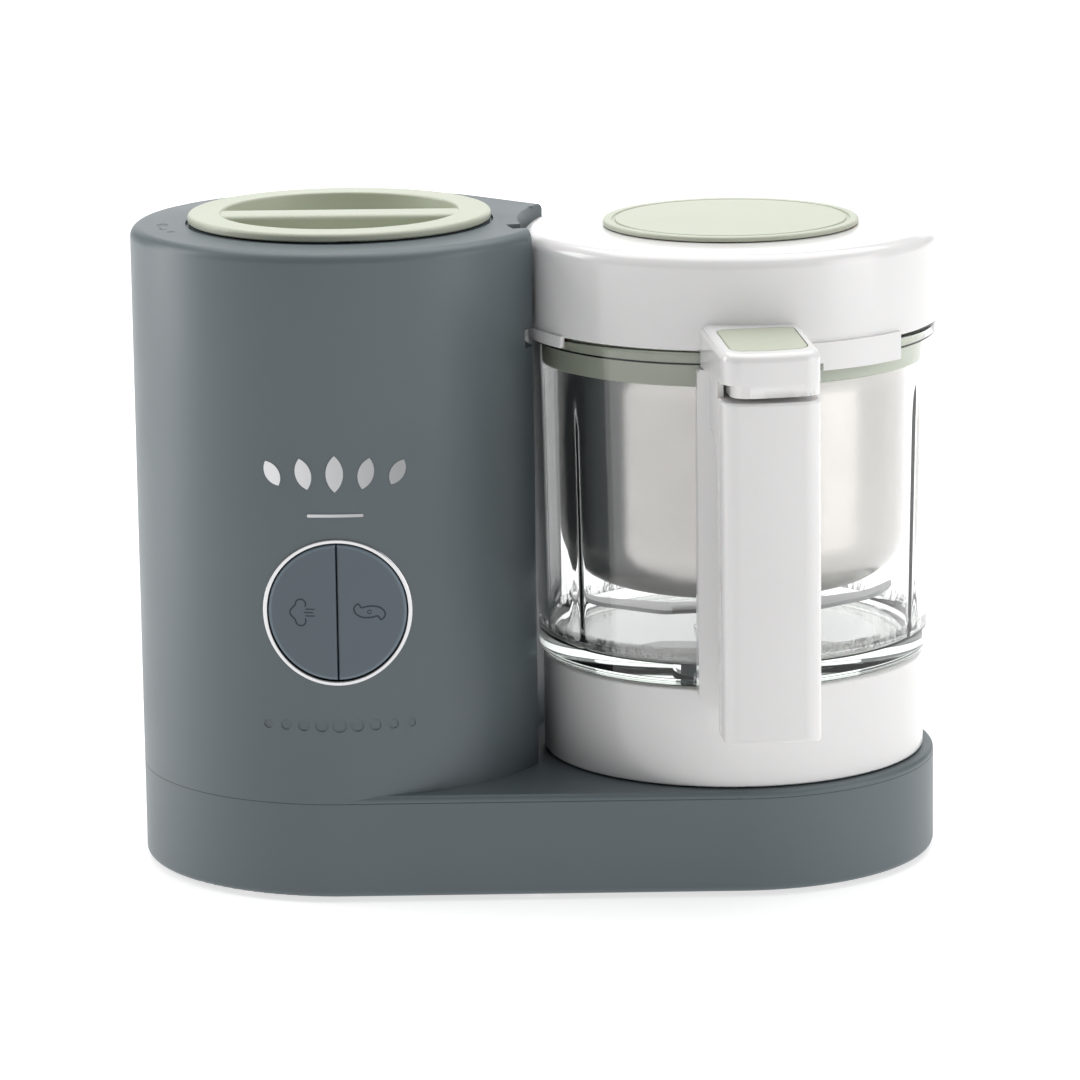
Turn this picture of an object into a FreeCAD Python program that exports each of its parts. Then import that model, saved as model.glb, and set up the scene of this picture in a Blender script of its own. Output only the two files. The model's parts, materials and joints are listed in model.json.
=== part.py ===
"""Baby food maker: a water tank and motor column beside a lidded glass jug on one base.

Millimetres, +Z up.  The origin is on the table plane, halfway along the base, on the line
that joins the axis of the column (towards -X) and the axis of the jug (towards +X).
The control panel and the jug's handle face -Y.
"""
import FreeCAD
import Part
import math
import os
from FreeCAD import Vector

# ---------------------------------------------------------------- driving dimensions
COLUMN_R = 83.5          # outer radius of the tank and motor column
BASE_END_R = 81.0        # radius of the base's end under the jug
AXIS_GAP = 156.0         # distance between the column's axis and the jug's axis
LENGTH = COLUMN_R + AXIS_GAP + BASE_END_R
COLUMN_X = COLUMN_R - LENGTH / 2
JUG_X = COLUMN_X + AXIS_GAP

FOOT_PROUD = 2.0         # the casing's underside stands this high on the feet
SEAM_Z = 40.0            # joint line between the lower casing and the deck
DECK_Z = 43.0            # top of the deck
COVER_Z = 252.0          # joint line between the column and its top cover
COLUMN_Z = 259.0         # top of the column
WALL = 3.0               # wall of the large mouldings

LID_R = 83.1
NOTCH_R = LID_R + 2.0    # the hollow in the column that the jug and lid stand in
LID_Z = (219.0, 256.0)
RING_R = 76.8            # white base ring of the jug
RING_Z = (43.6, 83.2)
GLASS_Z = (83.6, 218.0)
GLASS_R = (78.3, 81.6)   # outside of the glass at its foot and at its rim
BASKET_R = 69.0
BASKET_Z = 114.0         # underside of the steaming basket
RIM_Z = (203.8, 217.5)   # soft rim of the basket

CAP_R = 60.5             # water tank cap
CAP_Z = (259.6, 263.0)
TANK_R = 57.0
TANK_Z = (150.0, 236.0)
PANEL_R = 29.3           # outside of the bright ring round the two buttons
PANEL_Z = 117.5
HANDLE_AZ = -84.0        # direction of the handle, seen from above, in degrees
PULLEY_R = (9.0, 30.0)   # belt radius of the motor pulley and of the driven pulley

GAP = 0.4                # clearance between pieces that move past each other
RUN = 0.05               # running clearance of a shaft in its bearing


# ---------------------------------------------------------------- drawing helpers
def outline(points, place):
    """Closed wire through corners (a, b) or (a, b, radius); place(a, b) puts a corner in space."""
    corners = [place(point[0], point[1]) for point in points]
    count = len(corners)
    entries, exits, arcs = [], [], []
    for i, point in enumerate(points):
        corner = corners[i]
        radius = point[2] if len(point) > 2 else 0
        if not radius:
            entries.append(corner)
            exits.append(corner)
            arcs.append(None)
            continue
        back = (corners[i - 1] - corner).normalize()
        ahead = (corners[(i + 1) % count] - corner).normalize()
        half = back.getAngle(ahead) / 2
        reach = radius / math.tan(half)
        middle = (back + ahead).normalize()
        entries.append(corner + back * reach)
        exits.append(corner + ahead * reach)
        crown = corner + middle * (radius / math.sin(half) - radius)
        arcs.append(Part.Arc(entries[i], crown, exits[i]).toShape())
    edges = []
    for i in range(count):
        following = (i + 1) % count
        if arcs[i] is not None:
            edges.append(arcs[i])
        if (exits[i] - entries[following]).Length > 1e-5:
            edges.append(Part.makeLine(exits[i], entries[following]))
    return Part.Wire(edges)


def lathe(points):
    """Solid turned about the local Z axis from a profile of (radius, height, rounding)."""
    face = Part.Face(outline(points, lambda r, z: Vector(r, 0, z)))
    return face.revolve(Vector(0, 0, 0), Vector(0, 0, 1), 360)


def plan(points, z0, z1):
    """Upright prism on a plan outline of (x, y, rounding)."""
    face = Part.Face(outline(points, lambda x, y: Vector(x, y, z0)))
    return face.extrude(Vector(0, 0, z1 - z0))


def side(points, y0, y1):
    """Prism along Y on a side outline of (x, z, rounding)."""
    face = Part.Face(outline(points, lambda x, z: Vector(x, y0, z)))
    return face.extrude(Vector(0, y1 - y0, 0))


def across(points, x0, x1):
    """Prism along X on an end outline of (y, z, rounding)."""
    face = Part.Face(outline(points, lambda y, z: Vector(x0, y, z)))
    return face.extrude(Vector(x1 - x0, 0, 0))


def rectangle(a0, a1, b0, b1, radius=0.0):
    return [(a0, b0, radius), (a1, b0, radius), (a1, b1, radius), (a0, b1, radius)]


def box(x0, x1, y0, y1, z0, z1):
    return Part.makeBox(x1 - x0, y1 - y0, z1 - z0, Vector(x0, y0, z0))


def rod(radius, z0, z1, x=0.0, y=0.0):
    return Part.makeCylinder(radius, z1 - z0, Vector(x, y, z0))


def tube(inner, outer, z0, z1):
    return rod(outer, z0, z1).cut(rod(inner, z0 - 1, z1 + 1))


def rod_y(radius, y0, y1, x, z):
    return Part.makeCylinder(radius, y1 - y0, Vector(x, y0, z), Vector(0, 1, 0))


def rod_x(radius, x0, x1, y, z):
    return Part.makeCylinder(radius, x1 - x0, Vector(x0, y, z), Vector(1, 0, 0))


def sector(r0, r1, az0, az1, z0, z1):
    """Ring segment between two radii and two azimuths in degrees."""
    ring = Part.makeCylinder(r1, z1 - z0, Vector(0, 0, z0), Vector(0, 0, 1), az1 - az0)
    ring.rotate(Vector(0, 0, 0), Vector(0, 0, 1), az0)
    return ring.cut(rod(r0, z0 - 1, z1 + 1))


def moved(shape, x=0.0, y=0.0, z=0.0):
    copy = shape.copy()
    copy.translate(Vector(x, y, z))
    return copy


def turned(shape, angle):
    copy = shape.copy()
    copy.rotate(Vector(0, 0, 0), Vector(0, 0, 1), angle)
    return copy


def around(shape, count, start=0.0):
    """The same solid repeated evenly about the local Z axis."""
    return [turned(shape, start + i * 360.0 / count) for i in range(count)]


def on_column(shape):
    return moved(shape, COLUMN_X)


def on_jug(shape):
    return moved(shape, JUG_X)


def on_handle(shape):
    """From the handle's own frame (X outwards, Y to its right) to the part's frame."""
    return on_jug(turned(shape, HANDLE_AZ))


def base_form(offset, z0, z1):
    return belt_form(COLUMN_R - offset, BASE_END_R - offset, z0, z1)


def belt_form(r_column, r_jug, z0, z1):
    """Prism whose plan is two circles, on the two axes, joined by their tangents."""
    lean = math.acos((r_column - r_jug) / AXIS_GAP)
    ends = []
    for x, r in ((COLUMN_X, r_column), (JUG_X, r_jug)):
        for sign in (1, -1):
            ends.append(Vector(x + r * math.cos(lean), sign * r * math.sin(lean), z0))
    left_up, left_down, right_up, right_down = ends
    edges = [Part.Arc(left_up, Vector(COLUMN_X - r_column, 0, z0), left_down).toShape(),
             Part.makeLine(left_down, right_down),
             Part.Arc(right_down, Vector(JUG_X + r_jug, 0, z0), right_up).toShape(),
             Part.makeLine(right_up, left_up)]
    return Part.Face(Part.Wire(edges)).extrude(Vector(0, 0, z1 - z0))


def level_edges(shape, z):
    """Edges that lie flat at height z."""
    found = []
    for edge in shape.Edges:
        span = edge.BoundBox
        if abs(span.ZMin - z) < 1e-4 and abs(span.ZMax - z) < 1e-4:
            found.append(edge)
    return found


def upright_edges(shape, x, radius):
    """Straight vertical edges at the given radius from the vertical axis through x."""
    found = []
    for edge in shape.Edges:
        span = edge.BoundBox
        upright = span.XLength < 1e-4 and span.YLength < 1e-4
        if upright and abs(math.hypot(span.XMin - x, span.YMin) - radius) < 1e-3:
            found.append(edge)
    return found


def save(name, shape):
    shape.exportStep(os.path.join("parts", name + ".step"))
    print(name, len(shape.Solids), shape.isValid(), round(shape.Volume / 1000, 2), "cm3")


# ---------------------------------------------------------------- base and casings
BOSS_INSET = 8.0
BOSS_R = 5.0
CHASSIS_Z = (30.0, 33.0)
COVER_PLATE_Z = (2.6, 4.8)


def boss_places():
    """Six screw bosses just inside the base's wall: two on each end and two between."""
    places = []
    for azimuth in (120.0, 240.0):
        reach = COLUMN_R - BOSS_INSET
        angle = math.radians(azimuth)
        places.append((COLUMN_X + reach * math.cos(angle), reach * math.sin(angle)))
    for azimuth in (60.0, -60.0):
        reach = BASE_END_R - BOSS_INSET
        angle = math.radians(azimuth)
        places.append((JUG_X + reach * math.cos(angle), reach * math.sin(angle)))
    middle = (COLUMN_R + BASE_END_R) / 2 - BOSS_INSET
    places += [(0.0, middle), (0.0, -middle)]
    return places


SCREW_R = 1.5
SCREW_HEAD_R = 2.8


def lower_casing():
    outer = base_form(0, FOOT_PROUD, SEAM_Z)
    outer = outer.makeFillet(2.5, level_edges(outer, FOOT_PROUD))
    shell = outer.cut(base_form(2.6, FOOT_PROUD - 1, SEAM_Z + 1))
    ledge = base_form(2.6, 4.8, 6.8).cut(base_form(8.0, 4, 8))
    bosses = [rod(BOSS_R, 4.8, CHASSIS_Z[0], x, y) for x, y in boss_places()]
    shell = shell.fuse([ledge] + bosses)
    holes = [rod(SCREW_R, 0, 50, x, y) for x, y in boss_places()]
    gland_hole = rod_y(5.5, COLUMN_R - 6, COLUMN_R + 6, COLUMN_X, 16)
    return shell.cut(holes + [gland_hole])


FOOT_R = 9.0
FOOT_PLACES = [(COLUMN_X - 38, 40.0), (COLUMN_X - 38, -40.0), (JUG_X + 36, 40.0),
               (JUG_X + 36, -40.0), (0.0, 0.0)]


def bottom_cover():
    plate = base_form(2.6, *COVER_PLATE_Z)
    cuts = [rod(FOOT_R, 1, 3.6, x, y) for x, y in FOOT_PLACES]
    cuts += [rod(SCREW_R, 1, 6, x, y) for x, y in boss_places()]
    cuts += [rod(SCREW_HEAD_R, 1, 3.6, x, y) for x, y in boss_places()]
    for i in range(7):
        slot_x = COLUMN_X - 24 + 8.0 * i
        cuts.append(plan(rectangle(slot_x - 1.5, slot_x + 1.5, -22, 22, 1.4), 1, 6))
    return plate.cut(cuts)


def rubber_feet():
    foot = lathe([(0, 0), (FOOT_R - 0.6, 0, 0.8), (FOOT_R, 2.6), (FOOT_R, 3.6), (0, 3.6)])
    return Part.makeCompound([moved(foot, x, y) for x, y in FOOT_PLACES])


def casing_screws():
    """Six screws up through the bottom cover and six down through the chassis."""
    screws = []
    for x, y in boss_places():
        shank = rod(SCREW_R, 3.6, 15, x, y)
        screws.append(rod(SCREW_HEAD_R, 2.8, 3.6, x, y).fuse(shank))
        shank = rod(SCREW_R, 20, CHASSIS_Z[1], x, y)
        screws.append(rod(SCREW_HEAD_R, CHASSIS_Z[1], CHASSIS_Z[1] + 1.6, x, y).fuse(shank))
    return Part.makeCompound(screws)


PLINTH_R = 64.0
PLINTH_Z = 62.0


def base_deck():
    """Deck with the raised plinth that centres the jug over the drive."""
    top = base_form(0, SEAM_Z, DECK_Z)
    top = top.makeFillet(2.2, level_edges(top, DECK_Z))
    top = top.fuse(on_column(rod(COLUMN_R, SEAM_Z, DECK_Z)))
    plinth = on_jug(lathe([(0, SEAM_Z), (PLINTH_R, SEAM_Z), (PLINTH_R, PLINTH_Z, 3), (0, PLINTH_Z)]))
    lip = base_form(2.6, 36, SEAM_Z).cut(base_form(4.2, 35, SEAM_Z + 1))
    top = top.fuse([plinth, lip])
    hollow = base_form(4.2, 35, SEAM_Z + 0.6)
    column_bore = on_column(rod(COLUMN_R - WALL - 4, 35, DECK_Z + 1))
    column_bore = column_bore.cut(on_jug(rod(NOTCH_R + WALL + 4, 30, DECK_Z + 2)))
    plinth_bore = on_jug(rod(PLINTH_R - WALL, 35, PLINTH_Z - WALL))
    spindle_hole = on_jug(rod(12.5, 40, PLINTH_Z + 1))
    return top.cut([hollow, column_bore, plinth_bore, spindle_hole]).removeSplitter()


# ---------------------------------------------------------------- column shell
TONGUE_Z = (215.0, 219.3)
SLOT_Z = (213.0, 220.3)
TONGUE_AZ = (191.5, 196.5)     # round the jug's axis, at rest
TONGUE_R = 89.9
GROOVE_R = 90.7
NOZZLE_Z = 226.0


def front_shell(points, depth_in, depth_out):
    """A flat outline (x, z) laid on the column's front between two radii of the column."""
    stem = side(points, -COLUMN_R - 4, -COLUMN_R / 2)
    return stem.common(tube(depth_in, depth_out, 40, COLUMN_Z))


def leaf_outlines():
    """Five slender leaves in a row, the outer ones smaller and leaning outwards."""
    leaves = []
    for place in (-2, -1, 0, 1, 2):
        half_height = 7.2 - 0.9 * abs(place)
        half_width = 3.4 - 0.3 * abs(place)
        tip = Vector(0, 0, half_height)
        belly = Vector(half_width, 0, 0)
        edges = [Part.Arc(tip, belly, tip * -1).toShape(), Part.Arc(tip * -1, belly * -1, tip).toShape()]
        leaf = Part.Face(Part.Wire(edges)).extrude(Vector(0, COLUMN_R / 2, 0))
        leaf.rotate(Vector(0, 0, 0), Vector(0, 1, 0), 14.0 * place)
        leaves.append(moved(leaf, 12.2 * place, -COLUMN_R - 4, 172.5))
    return leaves


def dash_outline():
    return rectangle(-11, 11, 155.4, 156.6, 0.5)


def front_trim():
    """Bright leaf emblem and dash, set into the column's face."""
    skin = tube(COLUMN_R - 0.7, COLUMN_R + 0.25, 140, 190)
    pieces = [leaf.common(skin) for leaf in leaf_outlines()]
    pieces.append(front_shell(dash_outline(), COLUMN_R - 0.7, COLUMN_R + 0.25))
    return on_column(Part.makeCompound(pieces))


def pea_marks():
    """A row of nine shallow round marks, the middle ones larger."""
    marks = []
    for i in range(-4, 5):
        marks.append(rod_y(2.9 - 0.28 * abs(i), -COLUMN_R - 4, -COLUMN_R / 2, 7.0 * i, 72.0))
    return marks


HORN_AZ = 47.7           # where the rear horn leaves the column's circle, in degrees
HORN_REACH = 36.0
TOP_ROUNDING = 4.5
CORNER_ROUNDING = 1.2


def rear_horn(z0, z1, rounding=0.0):
    """Straight-sided horn, tangent to the column, that reaches round behind the jug."""
    block = box(COLUMN_R - 30, COLUMN_R, -HORN_REACH, 0, z0, z1)
    if rounding:
        rim = [edge for edge in level_edges(block, z1) if edge.BoundBox.XMin > COLUMN_R - 1]
        block = block.makeFillet(rounding, rim)
    return turned(block, HORN_AZ)


def column_form(z0, z1):
    """The column's outer form: cylinder and horn, hollowed by the jug's notch."""
    form = rod(COLUMN_R, z0, z1).fuse(rear_horn(z0, z1)).cut(rod(NOTCH_R, 0, 300, AXIS_GAP))
    return form.makeFillet(CORNER_ROUNDING, upright_edges(form, AXIS_GAP, NOTCH_R))


def column_housing():
    notch_x = AXIS_GAP
    outer = column_form(DECK_Z, COVER_Z)
    hollow = rod(COLUMN_R - WALL, DECK_Z - 1, COVER_Z + 1).cut(rod(NOTCH_R + WALL, 0, 300, notch_x))
    fin = moved(sector(NOTCH_R - 1, 94.5, 187, 203.5, 206, COVER_Z), notch_x)
    fin = fin.common(outer)
    shell = outer.cut(hollow).fuse(fin)
    groove = moved(sector(NOTCH_R - 2, GROOVE_R, 190.5, 197.5, SLOT_Z[0], 300), notch_x)
    slot = moved(sector(NOTCH_R - 3, GROOVE_R, 197.0, 208.0, *SLOT_Z), notch_x)
    skin = tube(COLUMN_R - 0.7, COLUMN_R + 5, 60, 190)
    marks_skin = tube(COLUMN_R - 0.35, COLUMN_R + 5, 60, 90)
    cuts = [groove, slot,
            rod_y(PANEL_R, -COLUMN_R - 4, -COLUMN_R / 2, 0, PANEL_Z),
            rod_x(6.0, 60, 90, 0, NOZZLE_Z),
            plunger_rod(1.9, 84, 100, notch_x)]
    cuts += [leaf.common(skin) for leaf in leaf_outlines()]
    cuts.append(front_shell(dash_outline(), COLUMN_R - 0.7, COLUMN_R + 5))
    cuts += [mark.common(marks_skin) for mark in pea_marks()]
    return on_column(shell.cut(cuts).removeSplitter())


def column_top_cover():
    cap_hole = 54.2
    plate = lathe([(cap_hole, 256), (cap_hole, COLUMN_Z, 0.6), (COLUMN_R, COLUMN_Z, TOP_ROUNDING),
                   (COLUMN_R, COVER_Z), (COLUMN_R - WALL, COVER_Z), (COLUMN_R - WALL, 256)])
    horn = rear_horn(COVER_Z, COLUMN_Z, TOP_ROUNDING)
    horn = horn.cut(rod(COLUMN_R - TOP_ROUNDING - 1, COVER_Z - 1, 256))
    horn = horn.cut(rod(cap_hole + 8, COVER_Z - 1, COLUMN_Z + 1))
    wall = rod(COLUMN_R, COVER_Z, 256).common(rod(NOTCH_R + WALL, 0, 300, AXIS_GAP))
    fin = moved(sector(NOTCH_R - 1, 94.5, 187, 203.5, COVER_Z, 256.5), AXIS_GAP)
    fin = fin.common(rod(COLUMN_R - 0.5, COVER_Z, 256.5))
    cover = plate.fuse([horn, wall, fin]).common(column_form(COVER_Z, COLUMN_Z))
    groove = moved(sector(NOTCH_R - 2, GROOVE_R, 190.5, 197.5, SLOT_Z[0], 300), AXIS_GAP)
    moat = tube(CAP_R - 0.4, CAP_R + 0.9, COLUMN_Z - 1.4, COLUMN_Z + 1)
    return on_column(cover.cut([groove, moat]).removeSplitter())


# ---------------------------------------------------------------- water tank and steam
CUP_R = 50.0
SEAL_Z = (241.4, 245.2)
LUG_Z = (246.4, 249.4)
TAB_Z = (250.0, 253.0)
LUG_ARC = 24.0


def water_tank():
    low, high = TANK_Z
    body = lathe([(0, low), (TANK_R, low, 6), (TANK_R, high), (TANK_R - 1.2, high),
                  (TANK_R - 1.2, low + 1.2, 4.8), (0, low + 1.2)])
    return on_column(body.cut(rod_x(5.0, TANK_R - 6, TANK_R + 6, 0, NOZZLE_Z)))


def tank_gasket():
    return on_column(tube(54.0, 58.5, TANK_Z[1], TANK_Z[1] + 1.5))


def tank_collar():
    """Threaded mouth of the tank: a seat for the cap's seal and three tabs over its lugs."""
    foot = TANK_Z[1] + 1.5
    ring = lathe([(48.6, foot), (TANK_R, foot), (TANK_R, 253), (62.4, 253), (62.4, 256),
                  (54, 256), (54, 241), (48.6, 241)])
    tab = sector(50.7, 54.5, -LUG_ARC / 2, LUG_ARC / 2, *TAB_Z)
    return on_column(ring.fuse(around(tab, 3, 60.0)).removeSplitter())


def cap_seal():
    return on_column(lathe([(46.4, SEAL_Z[0]), (50.2, SEAL_Z[0], 0.8), (50.2, SEAL_Z[1], 0.8),
                            (46.4, SEAL_Z[1])]))


def tank_cap():
    """Cap with a deep finger recess, a bar to turn it by, and three lugs below."""
    low, high = CAP_Z
    body = lathe([(0, 238.6), (47.8, 238.6, 0.8), (47.8, 241.0), (46.0, 241.0), (46.0, 245.7),
                  (CUP_R, 245.7), (CUP_R, low), (CAP_R, low, 0.8), (CAP_R, high, 1.6),
                  (47.5, high, 1.0), (46.6, 248.2, 2.0), (0, 248.2)])
    bar = box(-48, 48, -8, 8, 247, high - 0.8)
    bar = bar.makeFillet(2.0, [e for e in level_edges(bar, high - 0.8) if e.BoundBox.XLength > 50])
    bar = bar.common(rod(48, 240, 270))
    lug = sector(CUP_R - 0.5, 53.1, -LUG_ARC / 2, LUG_ARC / 2, *LUG_Z)
    return on_column(body.fuse([bar] + around(lug, 3)).removeSplitter())


def heater_plate():
    """Cast plate under the tank, with the heating tube cast into it and two terminals."""
    plate = rod(50, 144, TANK_Z[0])
    ring = Part.makeTorus(36, 4.0, Vector(0, 0, 143), Vector(0, 0, 1), -180, 180, 320)
    ring.rotate(Vector(0, 0, 0), Vector(0, 0, 1), 110)
    stubs = []
    for azimuth in (110, 70):
        angle = math.radians(azimuth)
        stubs.append(rod(2.4, 130, 144.5, 36 * math.cos(angle), 36 * math.sin(angle)))
    return on_column(plate.fuse([ring] + stubs))


def thermostats():
    """A disc thermostat at the plate's centre and a thermal fuse beside it."""
    disc = rod(9, 138, 144).fuse(rod(7, 130, 138))
    fuse = rod_y(2.6, -8, 8, 20, 141.4)
    return on_column(Part.makeCompound([disc, fuse]))


def steam_outlet():
    """Straight silicone spout from the tank to the notch wall."""
    inner_wall = AXIS_GAP - NOTCH_R - WALL
    pipe = rod_x(5.0, TANK_R - 0.5, inner_wall - 2, 0, NOZZLE_Z)
    flange = rod_x(9.0, inner_wall - 2, inner_wall - 0.05, 0, NOZZLE_Z)
    spigot = rod_x(6.0, inner_wall - 0.05, AXIS_GAP - NOTCH_R - 0.6, 0, NOZZLE_Z)
    bore = rod_x(3.5, 40, 90, 0, NOZZLE_Z)
    return on_column(pipe.fuse([flange, spigot]).cut(bore))


# ---------------------------------------------------------------- control panel
BUTTON_R = 27.1
BUTTON_TRAVEL = 1.2
FRAME_Y = (-72.0, -70.0)
BOARD_Y = (-64.0, -62.4)
BUTTON_X = 13.0          # centre of each half button from the panel's centre


def panel_bezel():
    ring = rod_y(PANEL_R, -90, -70, 0, PANEL_Z).cut(rod_y(BUTTON_R + 0.5, -95, -60, 0, PANEL_Z))
    return on_column(ring.common(tube(COLUMN_R - 5, COLUMN_R + 0.6, 60, 180)))


def half_button(sign):
    """Half disc that follows the column's face, with a plunger behind it."""
    disc = rod_y(BUTTON_R, -90, -70, 0, PANEL_Z)
    half = box(0.25, 40, -95, -60, PANEL_Z - 40, PANEL_Z + 40)
    face = disc.common(half).common(tube(COLUMN_R - 3.2, COLUMN_R + 0.3, 60, 180))
    rim = [edge for edge in face.Edges if edge.BoundBox.YMax < -COLUMN_R * 0.93 and edge.Length > 10
           and abs(math.hypot(edge.CenterOfMass.x, edge.CenterOfMass.y)) > COLUMN_R - 1.2]
    face = face.makeFillet(0.9, rim)
    plunger = rod_y(3.0, -81.2, BOARD_Y[0] - 5.6, BUTTON_X, PANEL_Z)
    button = face.fuse(plunger)
    if sign < 0:
        button = button.mirror(Vector(0, 0, 0), Vector(1, 0, 0))
    return on_column(button)


def panel_frame():
    """Inner frame that guides the two plungers, on four posts from the column's wall."""
    plate = rod_y(33, *FRAME_Y, 0, PANEL_Z)
    posts = []
    for sx in (-1, 1):
        for sz in (-1, 1):
            posts.append(rod_y(2.6, -85, FRAME_Y[0], sx * 22.4, PANEL_Z + sz * 22.4))
    inside = rod(COLUMN_R - WALL, 60, 180)
    frame = plate.fuse([post.common(inside) for post in posts])
    holes = [rod_y(3.4, -90, -60, sx * BUTTON_X, PANEL_Z) for sx in (-1, 1)]
    for sx in (-1, 1):
        for sz in (-1, 1):
            frame = frame.fuse(rod_y(2.2, FRAME_Y[1], BOARD_Y[0], sx * 18, PANEL_Z + sz * 22))
    keep_out = rod_y(BUTTON_R + 0.45, -90, FRAME_Y[0] - 2, 0, PANEL_Z)
    ring_seat = rod_y(PANEL_R + 0.05, -90, -74, 0, PANEL_Z)
    return on_column(frame.cut(holes + [keep_out, ring_seat]))


def control_board():
    """Circuit board with its parts: two push switches, a transformer, relays and capacitors."""
    board = box(-27, 27, *BOARD_Y, PANEL_Z - 29, PANEL_Z + 29)
    front, back = BOARD_Y
    parts = [board]
    for sx in (-1, 1):
        parts.append(box(sx * BUTTON_X - 3, sx * BUTTON_X + 3, front - 4, front, PANEL_Z - 3, PANEL_Z + 3))
    parts.append(box(-22, -4, back, back + 14, PANEL_Z - 24, PANEL_Z - 6))
    parts.append(box(2, 20, back, back + 12, PANEL_Z - 24, PANEL_Z - 10))
    parts.append(rod_y(5, back, back + 14, -14, PANEL_Z + 10))
    parts.append(rod_y(4, back, back + 11, 0, PANEL_Z + 14))
    parts.append(box(8, 22, back, back + 5, PANEL_Z + 4, PANEL_Z + 14))
    return on_column(Part.makeCompound(parts))


# ---------------------------------------------------------------- motor and drive
MOTOR_R = 34.0
SHAFT_R = 4.0
SPINDLE_R = 5.0
BELT_Z = (11.0, 25.5)
FRAME_Z = (33.0, 56.0, 94.0, 115.0)     # lower end frame, stator stack, upper end frame
HUB_Z = ((36.0, 43.0), (105.0, 112.0))  # bearings of the motor
SPINDLE_BEARINGS = ((28.0, 36.0), (49.0, 57.0))


def chassis_plate():
    """Steel plate that holds the motor and the drive spindle at one distance."""
    plate = base_form(4.6, *CHASSIS_Z)
    cuts = [on_column(rod(13, 29, 34)), on_jug(rod(15, 29, 34))]
    cuts += [rod(SCREW_R, 29, 34, x, y) for x, y in boss_places()]
    cuts += [on_column(hole) for hole in around(rod(9, 29, 34, 55), 5, 36)]
    cuts += [on_jug(hole) for hole in around(rod(10, 29, 34, 48), 5, 36)]
    return plate.cut(cuts)


def motor_end_frames():
    z0, z1, z2, z3 = FRAME_Z
    lower = lathe([(8, z0), (MOTOR_R, z0), (MOTOR_R, z1), (31.5, z1), (31.5, z0 + 3),
                   (12, z0 + 3), (12, HUB_Z[0][1]), (8, HUB_Z[0][1])])
    upper = lathe([(8, z3), (MOTOR_R, z3), (MOTOR_R, z2), (31.5, z2), (31.5, z3 - 3),
                   (12, z3 - 3), (12, HUB_Z[1][0]), (8, HUB_Z[1][0])])
    vents = [turned(box(26, 40, -5, 5, z, z + 9), angle)
             for z in (z0 + 8, z2 + 3) for angle in (45, 135, 225, 315)]
    return on_column(Part.makeCompound([lower.cut(vents), upper.cut(vents)]))


def ball_bearings():
    """Two bearings of the motor and two of the drive spindle."""
    rings = [on_column(tube(SHAFT_R + RUN, 8, z0, z1)) for z0, z1 in HUB_Z]
    rings += [on_jug(tube(SPINDLE_R + RUN, 11, z0, z1)) for z0, z1 in SPINDLE_BEARINGS]
    return Part.makeCompound(rings)


def motor_stator():
    """Laminated ring with two field poles."""
    ring = tube(26, MOTOR_R, FRAME_Z[1], FRAME_Z[2])
    poles = [sector(19.2, 26.5, start, start + 90, FRAME_Z[1], FRAME_Z[2]) for start in (45, 225)]
    return on_column(ring.fuse(poles).removeSplitter())


def field_coils():
    """End turns of the two field windings, below and above the stack."""
    turns = []
    for z0, z1 in ((47, FRAME_Z[1]), (FRAME_Z[2], 102)):
        for start in (40, 220):
            turns.append(sector(20, 30, start, start + 100, z0, z1))
    return on_column(Part.makeCompound(turns))


def motor_brushes():
    """Carbon brushes in their holders, either side of the commutator."""
    pair = [box(10.4, 31.3, -2.5, 2.5, 99.0, 103.5), box(-31.3, -10.4, -2.5, 2.5, 99.0, 103.5)]
    return on_column(Part.makeCompound(pair))


def motor_shaft():
    return on_column(rod(SHAFT_R, 9, 126))


def rotor():
    """Armature stack, its windings and the commutator, pressed on the shaft."""
    body = lathe([(SHAFT_R, 47), (12, 47, 2), (16.5, 52, 2), (16.5, 57), (18.6, 57), (18.6, 93),
                  (16, 93), (15, 97, 2), (10, 98.5), (10, 104.2), (SHAFT_R, 104.2)])
    slots = around(box(17.2, 20, -0.8, 0.8, 57, 93), 12)
    return on_column(body.cut(slots))


def cooling_fan():
    hub = tube(SHAFT_R, 8, 117, 125).fuse(tube(SHAFT_R, 30, 117, 118.5))
    blade = box(7.5, 29.5, -0.7, 0.7, 118.4, 125)
    return on_column(hub.fuse(around(blade, 9)).removeSplitter())


def ribbed_pulley(bore, belt_r, spokes):
    """Pulley for a ribbed belt between two flanges."""
    z0, z1 = BELT_Z
    wheel = lathe([(bore, z0 - 1.5), (belt_r + 2.6, z0 - 1.5), (belt_r + 2.6, z0), (belt_r, z0),
                   (belt_r, z1), (belt_r + 2.6, z1), (belt_r + 2.6, z1 + 1.5), (bore, z1 + 1.5)])
    if spokes:
        window = rod(belt_r / 4.2, z0 - 2, z1 + 2, belt_r * 0.58)
        wheel = wheel.cut(around(window, spokes))
    return wheel


def drive_belt():
    """Flat side of the ribbed belt, run round both pulleys with a working clearance."""
    inner = [r + 0.1 for r in PULLEY_R]
    outer = [r + 2.0 for r in inner]
    z0, z1 = BELT_Z[0] + 1.5, BELT_Z[1] - 1.5
    return belt_form(*outer, z0, z1).cut(belt_form(*inner, z0 - 1, z1 + 1))


def bearing_housing():
    return on_jug(lathe([(11, 28), (15, 28), (15, CHASSIS_Z[1]), (26, CHASSIS_Z[1]), (26, 36),
                         (15, 37, 1), (15, 57), (11, 57), (11, 49), (8, 49), (8, 36), (11, 36)]))


DOG_Z = (63.4, 69.8)


def drive_spindle():
    return on_jug(rod(SPINDLE_R, 9, DOG_Z[1]))


def dog_form(clearance, z0, z1):
    """Round hub with six teeth."""
    hub = rod(9.5 + clearance, z0, z1)
    half = 2.4 + clearance
    tooth = box(8, 13.5 + clearance, -half, half, z0, z1)
    return hub.fuse(around(tooth, 6)).removeSplitter()


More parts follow.
